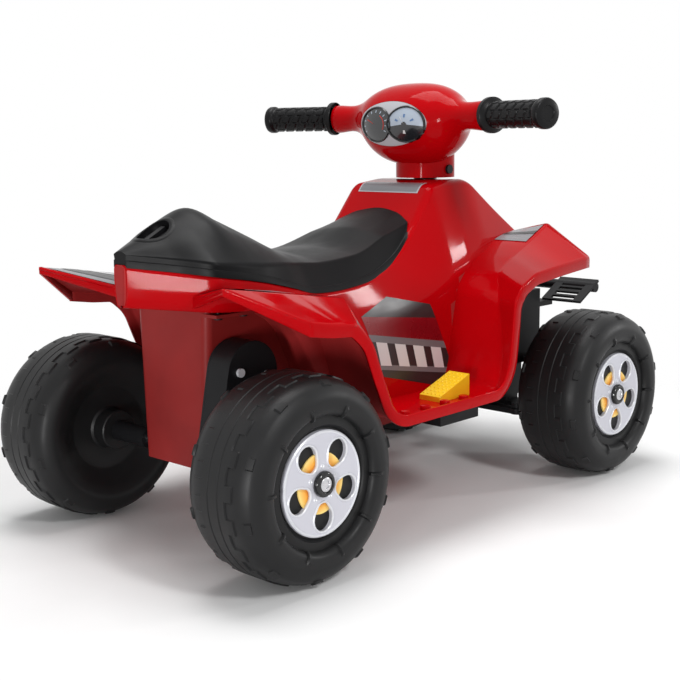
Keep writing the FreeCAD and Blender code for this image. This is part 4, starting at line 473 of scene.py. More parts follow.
SHELL_WALL, BODY_SHARP = 3 * MM, 32
SPINE_REACHES = np.array((30, 10, 14, 40, 40, 40, 30, 60, 60, 20, 6, 6, 12, 60, 20)) * MM
SECTION_REACHES = np.array((3, 7, 26, 6, 4)) * MM
SECTION_ARC = 6
OPENING_HALF, OPENING_X = 42 * MM, (-140 * MM, 10 * MM)
DECK_SHARE, DECK_GROWTH = 0.5, 1.9
spine_keys = np.array([row[0] for row in SPINE_SHARES])
spine_rows = np.array([row[1:] for row in SPINE_SHARES])
spine_half = place(spine_keys[:, None], spine_rows[..., 0], spine_rows[..., 1])
half = bent(spine_half, SPINE_REACHES)
keel, deck = sideways(half[:, :1], 0), sideways(half[:, -1:], DECK_SHARE)
side_skin = rounded(np.concatenate([keel, half, deck], axis=1), SECTION_REACHES, SECTION_ARC)
side_skin[:, -1, 1] = np.minimum(OPENING_HALF, side_skin[:, -1, 1] * DECK_GROWTH)
skin = np.concatenate([sideways(side_skin, RIGHT), side_skin[:, ::-1]], axis=1)
spine_steps, columns = skin.shape[:2]
closed = np.ones((spine_steps - 1, columns - 1), bool)
inside = (skin[:-1, 0, 0] > OPENING_X[0]) & (skin[1:, 0, 0] < OPENING_X[1])
closed[inside, columns // 2 - 1] = False
spine_faces = grid_faces(spine_steps, columns, keep=closed) + end_faces(spine_steps, columns)
spine_faces = [face[::-1] for face in spine_faces]
spine = new_piece("body_spine", skin.reshape(-1, 3), spine_faces, RED, "chassis", BODY_SHARP)
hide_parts("body_shell")

# Fenders and footboards, as straight facets with small bends and a lip all round

LIP, WING_ARC, WING_CORNERS = 12 * MM, 6, (2.5 * MM, 3.5 * MM)
EDGE_LIP_SHARES = np.array((0.9, *[0.55] * WING_ARC, *[1] * WING_ARC))
WING_REACHES = np.array((30, 10, 4, 14, 40, 30, 14, 8, 14, 20, 30, 8, 6, 8, 30)) * MM
FOOT, CREASE, ROOT, ANGLE = slice(0, 3), slice(3, 6), slice(6, 9), 9
wing_table = np.array([[*foot, *crease, *root, angle] for foot, crease, root, angle in WING_SHARES])


def wing_corners(rows):
    """Root, crease, lip top and lip foot at each station of the left side."""
    foot, crease, root = (place(*rows[:, part].T) for part in (FOOT, CREASE, ROOT))
    angle = np.radians(rows[:, ANGLE])
    up = np.stack([np.cos(angle), np.zeros_like(angle), np.sin(angle)], axis=-1)
    return np.stack([root, crease, foot + LIP * up, foot], axis=1)


def body_sheet(name, grid, flip):
    return grids_piece(name, [grid], RED, "chassis", "body_red", flip, BODY_SHARP)


def edge_lip(name, row, side, flip):
    """The lip turned down along an end of the wing, from its root to the corner."""
    top = sideways(row[:-1], side)
    bottom = top.copy()
    bottom[:, 2] = np.maximum(top[:, 2] - LIP * EDGE_LIP_SHARES, row[-1, 2])
    return body_sheet(name, np.stack([top, (top + bottom) / 2, bottom]), flip)


wing_sheet = rounded(bent(wing_corners(wing_table), WING_REACHES), WING_CORNERS, WING_ARC)
wings, edge_lips = {}, []
for name, side in SIDES.items():
    wings[name] = body_sheet(f"body_wing_{name}", sideways(wing_sheet, side), side == LEFT)
    edge_lips.append(edge_lip(f"rear_lip_{name}", wing_sheet[0], side, side == RIGHT))
    edge_lips.append(edge_lip(f"front_lip_{name}", wing_sheet[-1], side, side == LEFT))

# Saddle over the spine, with the lock's recess in its tail

SEAT_GAP, SEAT_FRONT_GAP = 0.5 * MM, 1.5 * MM
SKIRT, SKIRT_MOST, SKIRT_STEP = 7 * MM, 0.6, 1.2 * MM
SKIRT_REACHES, CROWN_REACH = np.array((0.8, 0.5, 0.5)) * MM, 6 * MM
SHOULDER_STATIONS, SHOULDER_REACHES = (-1.05, -0.45, -0.2), np.array((9, 4, 1.5)) * MM
SEAT_STEPS, CROWN_STEPS, SEAT_ARC, SEAT_SHARP = 130, 25, 4, 35
LOCK_PLACE, LOCK_HOLE = np.array((-263.9, 0, 300.5)) * MM, 17 * MM
LOCK_SLOPE = math.radians(28)
LOCK_AXIS = np.array((-math.sin(LOCK_SLOPE), 0, math.cos(LOCK_SLOPE)))
seat_keys = spine_keys[:len(SEAT_SHARES)]
seat_at = np.linspace(seat_keys[0], seat_keys[-1], SEAT_STEPS)
seat_rows = smooth_rows(seat_keys, np.array(SEAT_SHARES), seat_at)
deck_rows = smooth_rows(spine_keys, spine_rows, seat_at)
seat_deck = place(seat_at[:, None], deck_rows[..., 0], deck_rows[..., 1])
tank_low, tank_high = SPINE_SHARES[len(SEAT_SHARES) - 1], SPINE_SHARES[len(SEAT_SHARES)]
tank_run = (tank_high[0] - tank_low[0]) * HALF_BASE
tank_lean = tank_run / ((tank_high[-1][1] - tank_low[-1][1]) * BODY_RISE)


def saddle_section(index):
    """A closed section of the saddle: a stepped skirt, shoulders and a smooth crown."""
    (shoulder_y, shoulder_z), (crown_y, crown_z), (_, ridge_z) = seat_rows[index]
    across = np.array([-shoulder_y, -crown_y, 0, crown_y, shoulder_y])
    heights = np.array([shoulder_z, crown_z, ridge_z, crown_z, shoulder_z])
    at = np.linspace(-shoulder_y, shoulder_y, CROWN_STEPS)
    top = place(seat_at[index], at, smooth_rows(across, heights, at))
    lift = np.array([0, 0, SEAT_GAP])
    deck_edge, deck_side = seat_deck[index, -1] + lift, seat_deck[index, -2] + lift
    rise = top[-1] - deck_side
    skirt = deck_side + rise * min(SKIRT_MOST, SKIRT / np.linalg.norm(rise))
    step = skirt - np.array([0, SKIRT_STEP, 0])
    left = np.array([deck_edge, deck_side, skirt, step])
    loop = np.concatenate([sideways(left, RIGHT), top, left[::-1]])
    share = np.clip((seat_at[index] - seat_keys[-2]) / (seat_keys[-1] - seat_keys[-2]), 0, 1)
    loop[:, 0] += share * ((loop[:, 2] - deck_edge[2]) * tank_lean - SEAT_FRONT_GAP)
    return loop


saddle = np.array([saddle_section(index) for index in range(SEAT_STEPS)])
softness = np.interp(seat_at, SHOULDER_STATIONS, SHOULDER_REACHES)[:, None]
side_reaches = [*SKIRT_REACHES, softness]
crown_reaches = [CROWN_REACH] * (CROWN_STEPS - 2)
saddle = rounded(saddle, (*side_reaches, *crown_reaches, *reversed(side_reaches)), SEAT_ARC)
loop_size = saddle.shape[1]
saddle_points = saddle.reshape(-1, 3)
from_lock = saddle_points - LOCK_PLACE
along_lock = from_lock @ LOCK_AXIS
lock_distance = np.linalg.norm(from_lock - along_lock[:, None] * LOCK_AXIS, axis=1)
in_hole = (lock_distance < LOCK_HOLE) & (np.abs(along_lock) < LOCK_HOLE)
all_saddle_faces = [face[::-1] for face in grid_faces(SEAT_STEPS, loop_size, wrap_columns=True)]
saddle_faces = [face for face in all_saddle_faces if not any(in_hole[index] for index in face)]
saddle_faces += end_faces(SEAT_STEPS, loop_size)
seat = new_piece("saddle", saddle_points, saddle_faces, SEAT_BLACK, "seat", SEAT_SHARP)
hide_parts("seat")

whole_saddle = BVHTree.FromPolygons([Vector(point) for point in saddle_points], all_saddle_faces)
CUP_RADII, CUP_LIFTS = np.array((22.5, 21, 19, 17, 16.2)) * MM, np.array((-0.4, 0.4, 0.7, 0.6, 0)) * MM
CUP_FLOOR = np.array(((15.8, -10), (15, -10.9), (4.2, -11))) * MM
CUP_STEPS = 48
cup_ways = ways_round(LOCK_AXIS, CUP_STEPS)
cup_ring = LOCK_PLACE + CUP_RADII[:, None, None] * cup_ways
cup_ring = drape(cup_ring, -LOCK_AXIS, whole_saddle, CUP_LIFTS[:, None])
cup_floor = LOCK_PLACE + CUP_FLOOR[:, :1, None] * cup_ways + CUP_FLOOR[:, 1:, None] * LOCK_AXIS
cup = np.concatenate([cup_ring, cup_floor])
grids_piece("lock_cup", [cup], SEAT_BLACK, "seat", "seat_black", wrap_columns=True)

# Tyres: a balloon section with a castellated tread, squares on the shoulders and lugs on the lip

TREAD_REPEATS, QUARTER = 10, 0.25
LONG_EDGE, SHORT_EDGE = 0.52, 0.34
FADE_EDGE, FADE_SPAN = 0.97, 0.2
BAND_DEPTH, GROOVE_DEPTH, SQUARE_HEIGHT, LUG_HEIGHT = 1.3 * MM, 0.8 * MM, 1.8 * MM, 2 * MM
GROOVE_EDGES = (0.125, 0.155)
SQUARE_EDGES, SQUARE_PHASES, SQUARE_RADIUS = (0.74, 0.87), (0.035, 0.215), 0.8
LUG_EDGE, LUG_PHASES, LUG_RADIUS = 0.85, (0.565, 0.635), 0.74
CROWN_RADIUS, TYRE_STEPS, TYRE_GAP, TYRE_SHARP = 0.78, 56, 0.35 * MM, 38
PHASE_SPAN, PHASE_STEPS, PHASE_GAP = (0.01, 0.99), 9, 0.01
HUB_RADIUS, BORE, HUB_STICK, HUB_CHAMFER, HUB_FILLET = 20 * MM, 5.1 * MM, 3.5 * MM, 1 * MM, 2 * MM
DISH_RADIUS, DISH_FLARE, DISH_RISE = 48 * MM, 3 * MM, 4 * MM


def between(values, span):
    return (values > span[0]) & (values < span[1])


def relief(phase, across, reach):
    """How far the tread stands above the skin at a phase of its repeat, in metres."""
    offset = np.where(across > 0, 0, QUARTER)
    band_edge = np.where((phase + offset) % (2 * QUARTER) < QUARTER, LONG_EDGE, SHORT_EDGE)
    width = np.abs(across)
    fade = np.clip((FADE_EDGE - width) / FADE_SPAN, 0, 1)
    height = np.where(width > band_edge, -BAND_DEPTH * fade, 0)
    height -= GROOVE_DEPTH * between(width, GROOVE_EDGES)
    square = between(width, SQUARE_EDGES) & between(phase, SQUARE_PHASES) & (reach > SQUARE_RADIUS)
    lug = (reach < LUG_RADIUS) & (across > LUG_EDGE) & between(phase, LUG_PHASES)
    return height + SQUARE_HEIGHT * square + LUG_HEIGHT * lug


def tyre_grid():
    """Turns of one tyre, and its section at each, as radius and distance from its middle."""
    shares = np.array(TYRE_SHARES)
    scale = np.array((WHEEL_RADIUS, TYRE_HALF))
    lengths = np.linalg.norm(np.diff(shares * scale, axis=0), axis=1)
    keys = np.concatenate([[0], np.cumsum(lengths)])
    crown = [index for index, (radius, _) in enumerate(TYRE_SHARES) if radius >= CROWN_RADIUS]
    steps = (SHORT_EDGE, LONG_EDGE, *GROOVE_EDGES, *SQUARE_EDGES)
    edges = np.interp(sorted(way * edge for edge in steps for way in (-1, 1)), shares[crown, 1], keys[crown])
    at = straddling(edges, 0, keys[-1], TYRE_STEPS, TYRE_GAP)
    skin_of_tyre = smooth_rows(keys, shares, at)
    slope = np.gradient(skin_of_tyre * scale, at, axis=0)
    normal = np.stack([slope[:, 1], -slope[:, 0]], axis=1)
    normal /= np.linalg.norm(normal, axis=1, keepdims=True)
    phase_edges = (QUARTER, 2 * QUARTER, 3 * QUARTER, *SQUARE_PHASES, *LUG_PHASES)
    phases = straddling(phase_edges, *PHASE_SPAN, PHASE_STEPS, PHASE_GAP)
    height = relief(phases[:, None], skin_of_tyre[None, :, 1], skin_of_tyre[None, :, 0])
    section = skin_of_tyre * scale + height[..., None] * normal
    hub_end, hub_root = -TYRE_HALF - HUB_STICK, shares[0, 1] * TYRE_HALF
    hub = np.array((
        (BORE, hub_end), (HUB_RADIUS - HUB_CHAMFER, hub_end), (HUB_RADIUS, hub_end + HUB_CHAMFER),
        (HUB_RADIUS, hub_root - HUB_FILLET), (HUB_RADIUS + HUB_FILLET, hub_root),
    ))
    rim = RIM_SEAT - TYRE_MID
    dish = np.array(((DISH_RADIUS + DISH_FLARE, rim + DISH_RISE), (DISH_RADIUS, rim), (BORE, rim)))
    hubs, dishes = (np.broadcast_to(part, (len(phases), *part.shape)) for part in (hub, dish))
    section = np.concatenate([hubs, section, dishes], axis=1)
    repeats = [(phases + repeat) / TREAD_REPEATS for repeat in range(TREAD_REPEATS)]
    return np.concatenate(repeats) * 2 * math.pi, np.tile(section, (TREAD_REPEATS, 1, 1))


tyre_turns, tyre_section = tyre_grid()
radius, across = tyre_section[..., 0], tyre_section[..., 1]
forward, rise = radius * np.sin(tyre_turns)[:, None], radius * np.cos(tyre_turns)[:, None]
for name, (x, side) in WHEELS.items():
    grid = np.stack([x + forward, side * (TYRE_MID + across), AXLE + rise], axis=-1)
    tyre = grids_piece(
        f"treaded_tyre_{name}", [grid], WHEEL_BLACK, f"wheel_{name}", "wheel_black", side == LEFT, TYRE_SHARP,
        wrap_rows=True,
    )
    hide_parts(f"tyre_{name}")

# Rims: raised borders round the windows, small bosses between them, an edge ring and the axle's bolt

WINDOW_COUNT, WINDOW_START, WINDOW_STEPS = 5, math.radians(-18), 14
WINDOW_OUTER, WINDOW_INNER = (30.8 * MM, 11.2 * MM), (23.9 * MM, 7.5 * MM)
BORDER = np.array(((-0.4, -0.8), (-0.4, 0.3), (0.2, 0.9), (1.1, 0.9), (1.7, 0.2), (1.8, -0.3))) * MM
BOSS_PLACE, BOSS_STEPS = 15.4 * MM, 16
BOSS_PROFILE = np.array(((2.4, -0.3), (1.9, 0.5), (1.3, 0.5), (1, 0), (0.05, 0.1))) * MM
EDGE_STEPS, BOLT_STEPS, BOLT_LIFT = 72, 36, 4 * MM
EDGE_PROFILE = np.array(((43.6, -0.3), (44.2, 0.6), (45.4, 0.8), (46.3, 0.1), (46.4, -2))) * MM
BOLT_PROFILE = np.array(
    ((6.4, -1.5), (6.4, 0.4), (5.8, 0.9), (3.6, 1.0), (3.2, 0.2), (3.2, -1.6), (0.1, -1.7))
) * MM


def egg(offset):
    """The outline of a window as (radial, tangential) points, set out by an offset."""
    slant = math.acos((WINDOW_INNER[1] - WINDOW_OUTER[1]) / (WINDOW_OUTER[0] - WINDOW_INNER[0]))
    arcs = ((WINDOW_OUTER, -slant, slant), (WINDOW_INNER, slant, 2 * math.pi - slant))
    return np.array([
        (middle + (size + offset) * math.cos(a), (size + offset) * math.sin(a))
        for (middle, size), start, end in arcs for a in np.linspace(start, end, WINDOW_STEPS)
    ])


def on_rim(radial, tangential, height, turn, x, side):
    """Points on a rim's face, from distances along and across a spoke at an angle."""
    forward = radial * math.cos(turn) - tangential * math.sin(turn)
    rise = radial * math.sin(turn) + tangential * math.cos(turn)
    return np.stack([x + forward, np.full_like(forward, side * (RIM_FACE + height)), AXLE + rise], axis=-1)


for name, (x, side) in WHEELS.items():
    body, face = f"wheel_{name}", (x, side * RIM_FACE, AXLE)
    turns = [WINDOW_START + 2 * math.pi * index / WINDOW_COUNT for index in range(WINDOW_COUNT)]
    borders = [
        np.array([on_rim(*egg(offset).T, height, turn, x, side) for offset, height in BORDER])
        for turn in turns
    ]
    grids_piece(f"window_borders_{name}", borders, PALE_SILVER, body, "rim_silver", wrap_columns=True)
    bosses = []
    for turn in turns:
        spoke = turn + math.pi / WINDOW_COUNT
        middle = (x + BOSS_PLACE * math.cos(spoke), side * RIM_FACE, AXLE + BOSS_PLACE * math.sin(spoke))
        bosses.append(lathe(BOSS_PROFILE, middle, (0, side, 0), BOSS_STEPS))
    edge_ring = lathe(EDGE_PROFILE, face, (0, side, 0), EDGE_STEPS)
    grids_piece(f"rim_bosses_{name}", [*bosses, edge_ring], PALE_SILVER, body, "rim_silver", wrap_rows=True)
    holder = "chassis" if name.startswith("rear") else f"knuckle_{name.split('_')[1]}"
    bolt = lathe(BOLT_PROFILE, (x, side * (RIM_FACE + BOLT_LIFT), AXLE), (0, side, 0), BOLT_STEPS)
    grids_piece(f"axle_bolt_{name}", [bolt], STEEL, holder, "steel", wrap_rows=True)

# Grips with slanted blocks in staggered rows

GRIP_SWEEP, GRIP_SHARP = math.radians(15), 35
GRIP_LENGTH, GRIP_ROWS, GRIP_PITCH, ROW_STEPS = 91 * MM, 10, 13 * MM, 8
GRIP_START = (95 * MM, 111 * MM)
GRIP_PROFILE = np.array(
    ((0, 12), (0, 18.1), (0.8, 18.8), (5.2, 18.8), (6, 18.1), (8.4, 13.4), (10, 13.1), (80, 13.1), (81, 13.5),
     (82, 14.9), (83.5, 15.5), (88.3, 15.5), (90, 14.7), (91, 13), (91, 8), (90.2, 7.4), (90.2, 0.1))
) * MM
BLOCK_HEIGHT, BLOCK_SPAN, BLOCK_STEPS = 1.1 * MM, (11 * MM, 79 * MM), 96
STAGGER, SLANT, BLOCK_SHARE, ROW_GAP = 0.5, 0.35, 0.62, 0.1
TINY = 1e-6


def grip_grid(side):
    bar_low, bar_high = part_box("grip_left")
    axis = np.array((-math.sin(GRIP_SWEEP), side * math.cos(GRIP_SWEEP), 0))
    start = np.array((GRIP_START[0], side * GRIP_START[1], (bar_low.z + bar_high.z) / 2))
    across = np.cross(axis, (0, 0, 1))
    plain = GRIP_PROFILE[:, 0]
    along = np.sort(np.concatenate([plain, np.linspace(*BLOCK_SPAN, BLOCK_STEPS)]))
    radius = np.interp(along, plain, GRIP_PROFILE[:, 1])
    ends = np.searchsorted(plain, GRIP_LENGTH)
    along = np.concatenate([along[along < GRIP_LENGTH - TINY], plain[ends:]])
    radius = np.concatenate([radius[:len(along) - len(plain[ends:])], GRIP_PROFILE[ends:, 1]])
    turns = np.linspace(0, 1, GRIP_ROWS * ROW_STEPS, endpoint=False)
    row = np.floor(turns * GRIP_ROWS)
    in_row = (turns * GRIP_ROWS) % 1
    shift = (row % 2) * STAGGER + in_row * SLANT
    block = ((along[None] / GRIP_PITCH + shift[:, None]) % 1 < BLOCK_SHARE) & (in_row > ROW_GAP)[:, None]
    block &= between(along, BLOCK_SPAN)[None]
    reach = radius[None] + BLOCK_HEIGHT * block
    angles = 2 * math.pi * turns[:, None]
    way = np.cos(angles) * np.array((0, 0, 1)) + np.sin(angles) * across
    return start + along[None, :, None] * axis + reach[..., None] * way[:, None]


for name, side in SIDES.items():
    grip = grids_piece(
        f"block_grip_{name}", [grip_grid(side)], GRIP_BLACK, "steering", "grip_black", side == RIGHT,
        GRIP_SHARP, wrap_rows=True,
    )
    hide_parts(f"grip_{name}")

# Dashboard: two dials with bezels, ticks and needles, laid on the pod's rear

DIAL_SPREAD, DIAL_SHIFT, DIAL_HEIGHT = 20.5 * MM, 2.5 * MM, AXLE + 302 * MM
DIAL_RADIUS, DIAL_STRETCH, DIAL_STEPS = 17.4 * MM, 1.22, 72
BEZEL_RADII = np.array((17.2, 17.4, 18.2, 19.0, 19.3)) * MM
BEZEL_LIFTS, BEZEL_STACK = np.array((0.2, 1.3, 1.7, 1.2, 0)) * MM, 0.3 * MM
FACE_RADII, FACE_LIFT = np.linspace(0.05 * MM, DIAL_RADIUS, 8), 0.35 * MM
TICK_HALF, MARK_HALF = 2.2, 6
TICKS = [(a - TICK_HALF, a + TICK_HALF) for a in range(-120, 121, 24)]
MARKS = [(a - MARK_HALF, a + MARK_HALF) for a in (-62, 0, 62)]
# Piece, side, look, lift, steps, radii and the angles where each mark starts and ends
DIAL_MARKS = (
    ("speed_ticks", LEFT, DIAL_PALE, 0.55 * MM, 2, (12.6 * MM, 15.4 * MM), TICKS),
    ("speed_arc", LEFT, NEEDLE_RED, 0.55 * MM, 20, (10.4 * MM, 11.2 * MM), [(30, 120)]),
    ("speed_needle", LEFT, NEEDLE_RED, 0.75 * MM, 3, (0.5 * MM, 11.5 * MM), [(-64, -58)]),
    ("charge_field", RIGHT, DIAL_PALE, 0.5 * MM, 40, FACE_RADII[1:], [(-98, 98)]),
    ("charge_marks", RIGHT, DIAL_BLUE, 0.8 * MM, 3, (7 * MM, 10.5 * MM), MARKS),
    ("charge_needle", RIGHT, WHITE, 0.9 * MM, 3, (1 * MM, 9 * MM), [(-32, -27)]),
    ("charge_lamp", RIGHT, WHITE, 0.6 * MM, 4, (6.5 * MM, 10 * MM), [(172, 188)]),
)
pod_cover = cover(nodes["pod_rear_cover"], nodes["dash_panel"], nodes["pod_front_cover"])


def dial_patch(side, radii, start, end, lifts, steps):
    """A ring or sector about a dial's middle, in degrees from up to the rider's right."""
    turns = np.radians(np.linspace(start, end, steps))
    radii = np.asarray(radii)
    y = side * DIAL_SPREAD - DIAL_SHIFT - DIAL_STRETCH * np.sin(turns)[:, None] * radii
    z = DIAL_HEIGHT + np.cos(turns)[:, None] * radii
    points = np.stack([np.zeros_like(y), y, z], axis=-1)
    return drape(points, (1, 0, 0), pod_cover, lifts)


def dial_piece(name, grids, look):
    return grids_piece(name, grids, look, "steering", "dash_grey")


for name, side in SIDES.items():
    lifts = BEZEL_LIFTS + (BEZEL_STACK if side == RIGHT else 0)
    ring = dial_patch(side, BEZEL_RADII, 0, 360, lifts, DIAL_STEPS)
    bezel = dial_piece(f"dial_bezel_{name}", [ring], GLOSS_BLACK)
    if side == LEFT:
        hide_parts("gauge_lenses")
    face = dial_patch(side, FACE_RADII, 0, 360, FACE_LIFT, DIAL_STEPS)
    dial_piece(f"dial_face_{name}", [face], DIAL_BLACK)
    for mark, mark_side, look, lift, steps, radii, angles in DIAL_MARKS:
        if mark_side == side:
            sectors = [dial_patch(side, radii, start, end, lift, steps) for start, end in angles]
            dial_piece(mark, sectors, look)

# Decals and panels

LIFT, DOWN = 0.3 * MM, (0, 0, -1)
spine_cover = cover(spine)


def decal(name, corners, way, look, lift=LIFT, rows=10, columns=18):
    """A patch draped on the spine, from corners in metres."""
    grid = drape(patch(corners, rows, columns), way, spine_cover, lift)
    return grids_piece(name, [grid], look, "chassis", "body_red")


# Bands on the sides, as corners (along, up) in millimetres, and white bars across one of them
SIDE_BANDS = (
    (DARK_GREY, ((-34, 222), (27.4, 208.3), (33.5, 193.5), (-77.4, 206.8))),
    (DARK_RED, ((-77.4, 206.8), (33.5, 193.5), (44.1, 167.5), (-70.3, 188.5))),
    (MID_GREY, ((-70.3, 188.5), (44.1, 167.5), (47.3, 159.8), (-67.5, 181.2))),
    (DARK_GREY, ((-67.5, 181.2), (47.3, 159.8), (56.1, 138.2), (-58, 157))),
    (MID_GREY, ((-58, 157), (56.1, 138.2), (48, 133.4), (-56, 151.6))),
    (DARK_GREY, ((-56, 151.6), (48, 133.4), (29.2, 122.8), (-52.9, 144))),
)
SIDE_REACH = 90 * MM
SLASHES, SLASH_SLANT = ((0.06, 0.20), (0.30, 0.44), (0.54, 0.68), (0.78, 0.92)), np.array((5, 0))
SLASH_BAND = SIDE_BANDS[3][1]


def on_side(points, side):
    return [(along * MM, side * SIDE_REACH, up * MM) for along, up in points]


for name, side in SIDES.items():
    inward = (0, -side, 0)
    for index, (look, corners) in enumerate(SIDE_BANDS):
        decal(f"side_band_{index}_{name}", on_side(corners, side), inward, look)
    a, b, c, d = (np.array(corner) for corner in SLASH_BAND)
    for index, span in enumerate(SLASHES):
        shares = np.array(span)[:, None]
        top, low = a + (b - a) * shares, d + (c - d) * shares - SLASH_SLANT
        corners = on_side((top[0], top[1], low[1], low[0]), side)
        decal(f"side_slash_{index}_{name}", corners, inward, WHITE, lift=2 * LIFT, rows=4, columns=4)

# Plate on the tank: its lower and upper edge as (along, up), and its layers with half width and margin
PLATE_LOW, PLATE_HIGH = np.array(((57, 322), (71, 335))) * MM
PLATE_WAY = (0.68, 0, -0.73)
PLATES = (("tank_plate_border", 43 * MM, 0, PALE_GREY, 1), ("tank_plate", 41 * MM, 0.08, PANEL_GREY, 2))
for name, y, margin, look, layer in PLATES:
    inset = margin * (PLATE_HIGH - PLATE_LOW)
    (low_x, low_z), (high_x, high_z) = PLATE_LOW + inset, PLATE_HIGH - inset
    corners = ((low_x, -y, low_z), (low_x, y, low_z), (high_x, y, high_z), (high_x, -y, high_z))
    decal(name, corners, PLATE_WAY, look, lift=layer * LIFT)

# Panels on the fenders, from station to station and between shares of the facet from root to crease
PANEL_LIFT, STRIPE_LIFT = 0.8 * MM, 1.2 * MM
PANEL_ROWS, PANEL_COLUMNS = 40, 24
REAR_ACROSS, FRONT_ACROSS = (0.1, 0.93), (0.12, 0.94)
WING_PANELS = (
    ("rear_panel", (0.06, 1.9), REAR_ACROSS, PANEL_GREY, PANEL_LIFT),
    ("rear_stripe_dark", (0.35, 0.75), REAR_ACROSS, DARK_GREY, STRIPE_LIFT),
    ("rear_stripe_pale", (0.85, 1.0), REAR_ACROSS, WHITE, STRIPE_LIFT),
    ("front_panel", (14.85, 15.9), FRONT_ACROSS, PANEL_GREY, PANEL_LIFT),
    ("front_stripe", (15.3, 15.5), FRONT_ACROSS, DARK_GREY, STRIPE_LIFT),
)
WING_STATIONS = np.arange(len(wing_table))
for hand, side in SIDES.items():
    wing_cover = cover(wings[hand])
    for name, stations, across, look, lift in WING_PANELS:
        at = np.linspace(*stations, PANEL_ROWS)
        rows = np.array([np.interp(at, WING_STATIONS, column) for column in wing_table.T]).T
        corners = wing_corners(rows)
        t = np.linspace(*across, PANEL_COLUMNS)[None, :, None]
        points = sideways(corners[:, :1] * (1 - t) + corners[:, 1:2] * t, side)
        grid = drape(points, DOWN, wing_cover, lift)
        grids_piece(f"{name}_{hand}", [grid], look, "chassis", "body_red")

# Panel with two chevrons on the hood, laid down from above
HOOD_X, HOOD_HALF, HOOD_ABOVE = (145 * MM, 232 * MM), (44 * MM, 38 * MM), 0.4
CHEVRON_STARTS, CHEVRON_SHARE = (0.25, 0.6), 0.16
CHEVRON_TIP, CHEVRON_END = (-8 * MM, 5 * MM), (6 * MM, 33 * MM)
hood = [(HOOD_X[i], way * HOOD_HALF[i], HOOD_ABOVE) for i, way in ((0, -1), (0, 1), (1, 1), (1, -1))]
decal("hood_panel", hood, DOWN, PANEL_GREY)
for index, start in enumerate(CHEVRON_STARTS):
    x0, x1 = (HOOD_X[0] + (HOOD_X[1] - HOOD_X[0]) * share for share in (start, start + CHEVRON_SHARE))
    ends = ((x0, CHEVRON_TIP), (x0, CHEVRON_END), (x1, CHEVRON_END), (x1, CHEVRON_TIP))
    for name, side in SIDES.items():
        chevron = [(x + shift, side * reach, HOOD_ABOVE) for x, (shift, reach) in ends]
        decal(f"hood_chevron_{index}_{name}", chevron, DOWN, DARK_GREY, lift=2 * LIFT, rows=4, columns=6)

# Pedal studs and footboard studs

pedal_low, pedal_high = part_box("pedal")
PEDAL_HEEL, PEDAL_TOE = 126.04 * MM, 143.04 * MM
PEDAL_ROWS, PEDAL_COLUMNS, STUD_STEPS = 8, 5, 12
ROW_START, ROW_MARGIN = 0.7, 0.4
STUD = np.array(((1.5, -0.3), (1.35, 0.35), (0.9, 0.7), (0.05, 0.8))) * MM
slope = math.atan2(PEDAL_TOE - PEDAL_HEEL, pedal_high.x - pedal_low.x)
stud_axis = (-math.sin(slope), 0, math.cos(slope))
studs = []
for row in range(PEDAL_ROWS):
    for column in range(PEDAL_COLUMNS):
        share = (row + ROW_START) / (PEDAL_ROWS + ROW_MARGIN)
        x = pedal_low.x + share * (pedal_high.x - pedal_low.x)
        y = pedal_low.y + (column + 0.5) / PEDAL_COLUMNS * (pedal_high.y - pedal_low.y)
        z = PEDAL_HEEL + share * (PEDAL_TOE - PEDAL_HEEL)
        studs.append(lathe(STUD, (x, y, z), stud_axis, STUD_STEPS))
grids_piece("pedal_studs", studs, YELLOW, "pedal", "pedal_yellow", wrap_rows=True)

BOARD_STUD = np.array(((5.2, -1), (5.0, 3.2), (4.4, 4), (0.05, 4.2))) * MM
BOARD_FLOOR, BOARD_ACROSS, BOARD_STEPS = 121.04 * MM, 152 * MM, 20
BOARD_X = np.array((-90, -60, -30, 0)) * MM
for name, side in SIDES.items():
    spots = [(x, side * BOARD_ACROSS, BOARD_FLOOR) for x in BOARD_X]
    board = [lathe(BOARD_STUD, spot, (0, 0, 1), BOARD_STEPS) for spot in spots]
    grids_piece(f"board_studs_{name}", board, RED, "chassis", "body_red", wrap_rows=True)

# Inside the wheel wells the spine's sides are matte and a darker red, the darker red being painted shade:
# behind the rear roots and ahead of the front ones

WELL_SHARE = 0.575
WELL_TOP = place(0, 0, WELL_SHARE)[2]
REAR_ROOTS, FRONT_ROOTS, WELL_END = slice(3, 8), slice(9, 14), 2
roots = place(*wing_table[:, ROOT].T)
rear_root, front_root = roots[REAR_ROOTS][::-1], roots[FRONT_ROOTS]


def in_well(centre):
    rear = np.interp(centre[2], rear_root[:, 2], rear_root[:, 0])
    front = np.interp(centre[2], front_root[:, 2], front_root[:, 0])
    behind = roots[WELL_END][0] < centre[0] < rear
    return centre[2] < WELL_TOP and (behind or centre[0] > front)


# Inner faces of the spine and the wings take the darker matte red: painted shade under the fenders
thicken(spine, SHELL_WALL, SHADED_WELL_RED)
for polygon in spine.data.polygons:
    polygon.material_index = int(in_well(polygon.center))
for wing in (*wings.values(), *edge_lips):
    thicken(wing, SHELL_WALL, SHADED_WELL_RED)

# Camera of the photograph, lights and floor

CAMERA_PLACE = Vector((-0.9373, -0.8794, 0.3834))
CAMERA_AZIMUTH, CAMERA_ELEVATION, CAMERA_ROLL = -46.23, 9.66, -0.66
FOCAL_PIXELS, FRAME_PIXELS, SENSOR = 1204.8, 680, 36
pose = Matrix.Translation(CAMERA_PLACE)
for angle, axis in ((CAMERA_AZIMUTH, "Z"), (90 - CAMERA_ELEVATION, "X"), (CAMERA_ROLL, "Z")):
    pose = pose @ Matrix.Rotation(math.radians(angle), 4, axis)
camera_data = bpy.data.cameras.new("camera")
camera_data.sensor_width = SENSOR
camera_data.lens = FOCAL_PIXELS * SENSOR / FRAME_PIXELS
camera = bpy.data.objects.new("camera", camera_data)
camera.matrix_world = pose
bpy.context.scene.collection.objects.link(camera)
bpy.context.scene.camera = camera


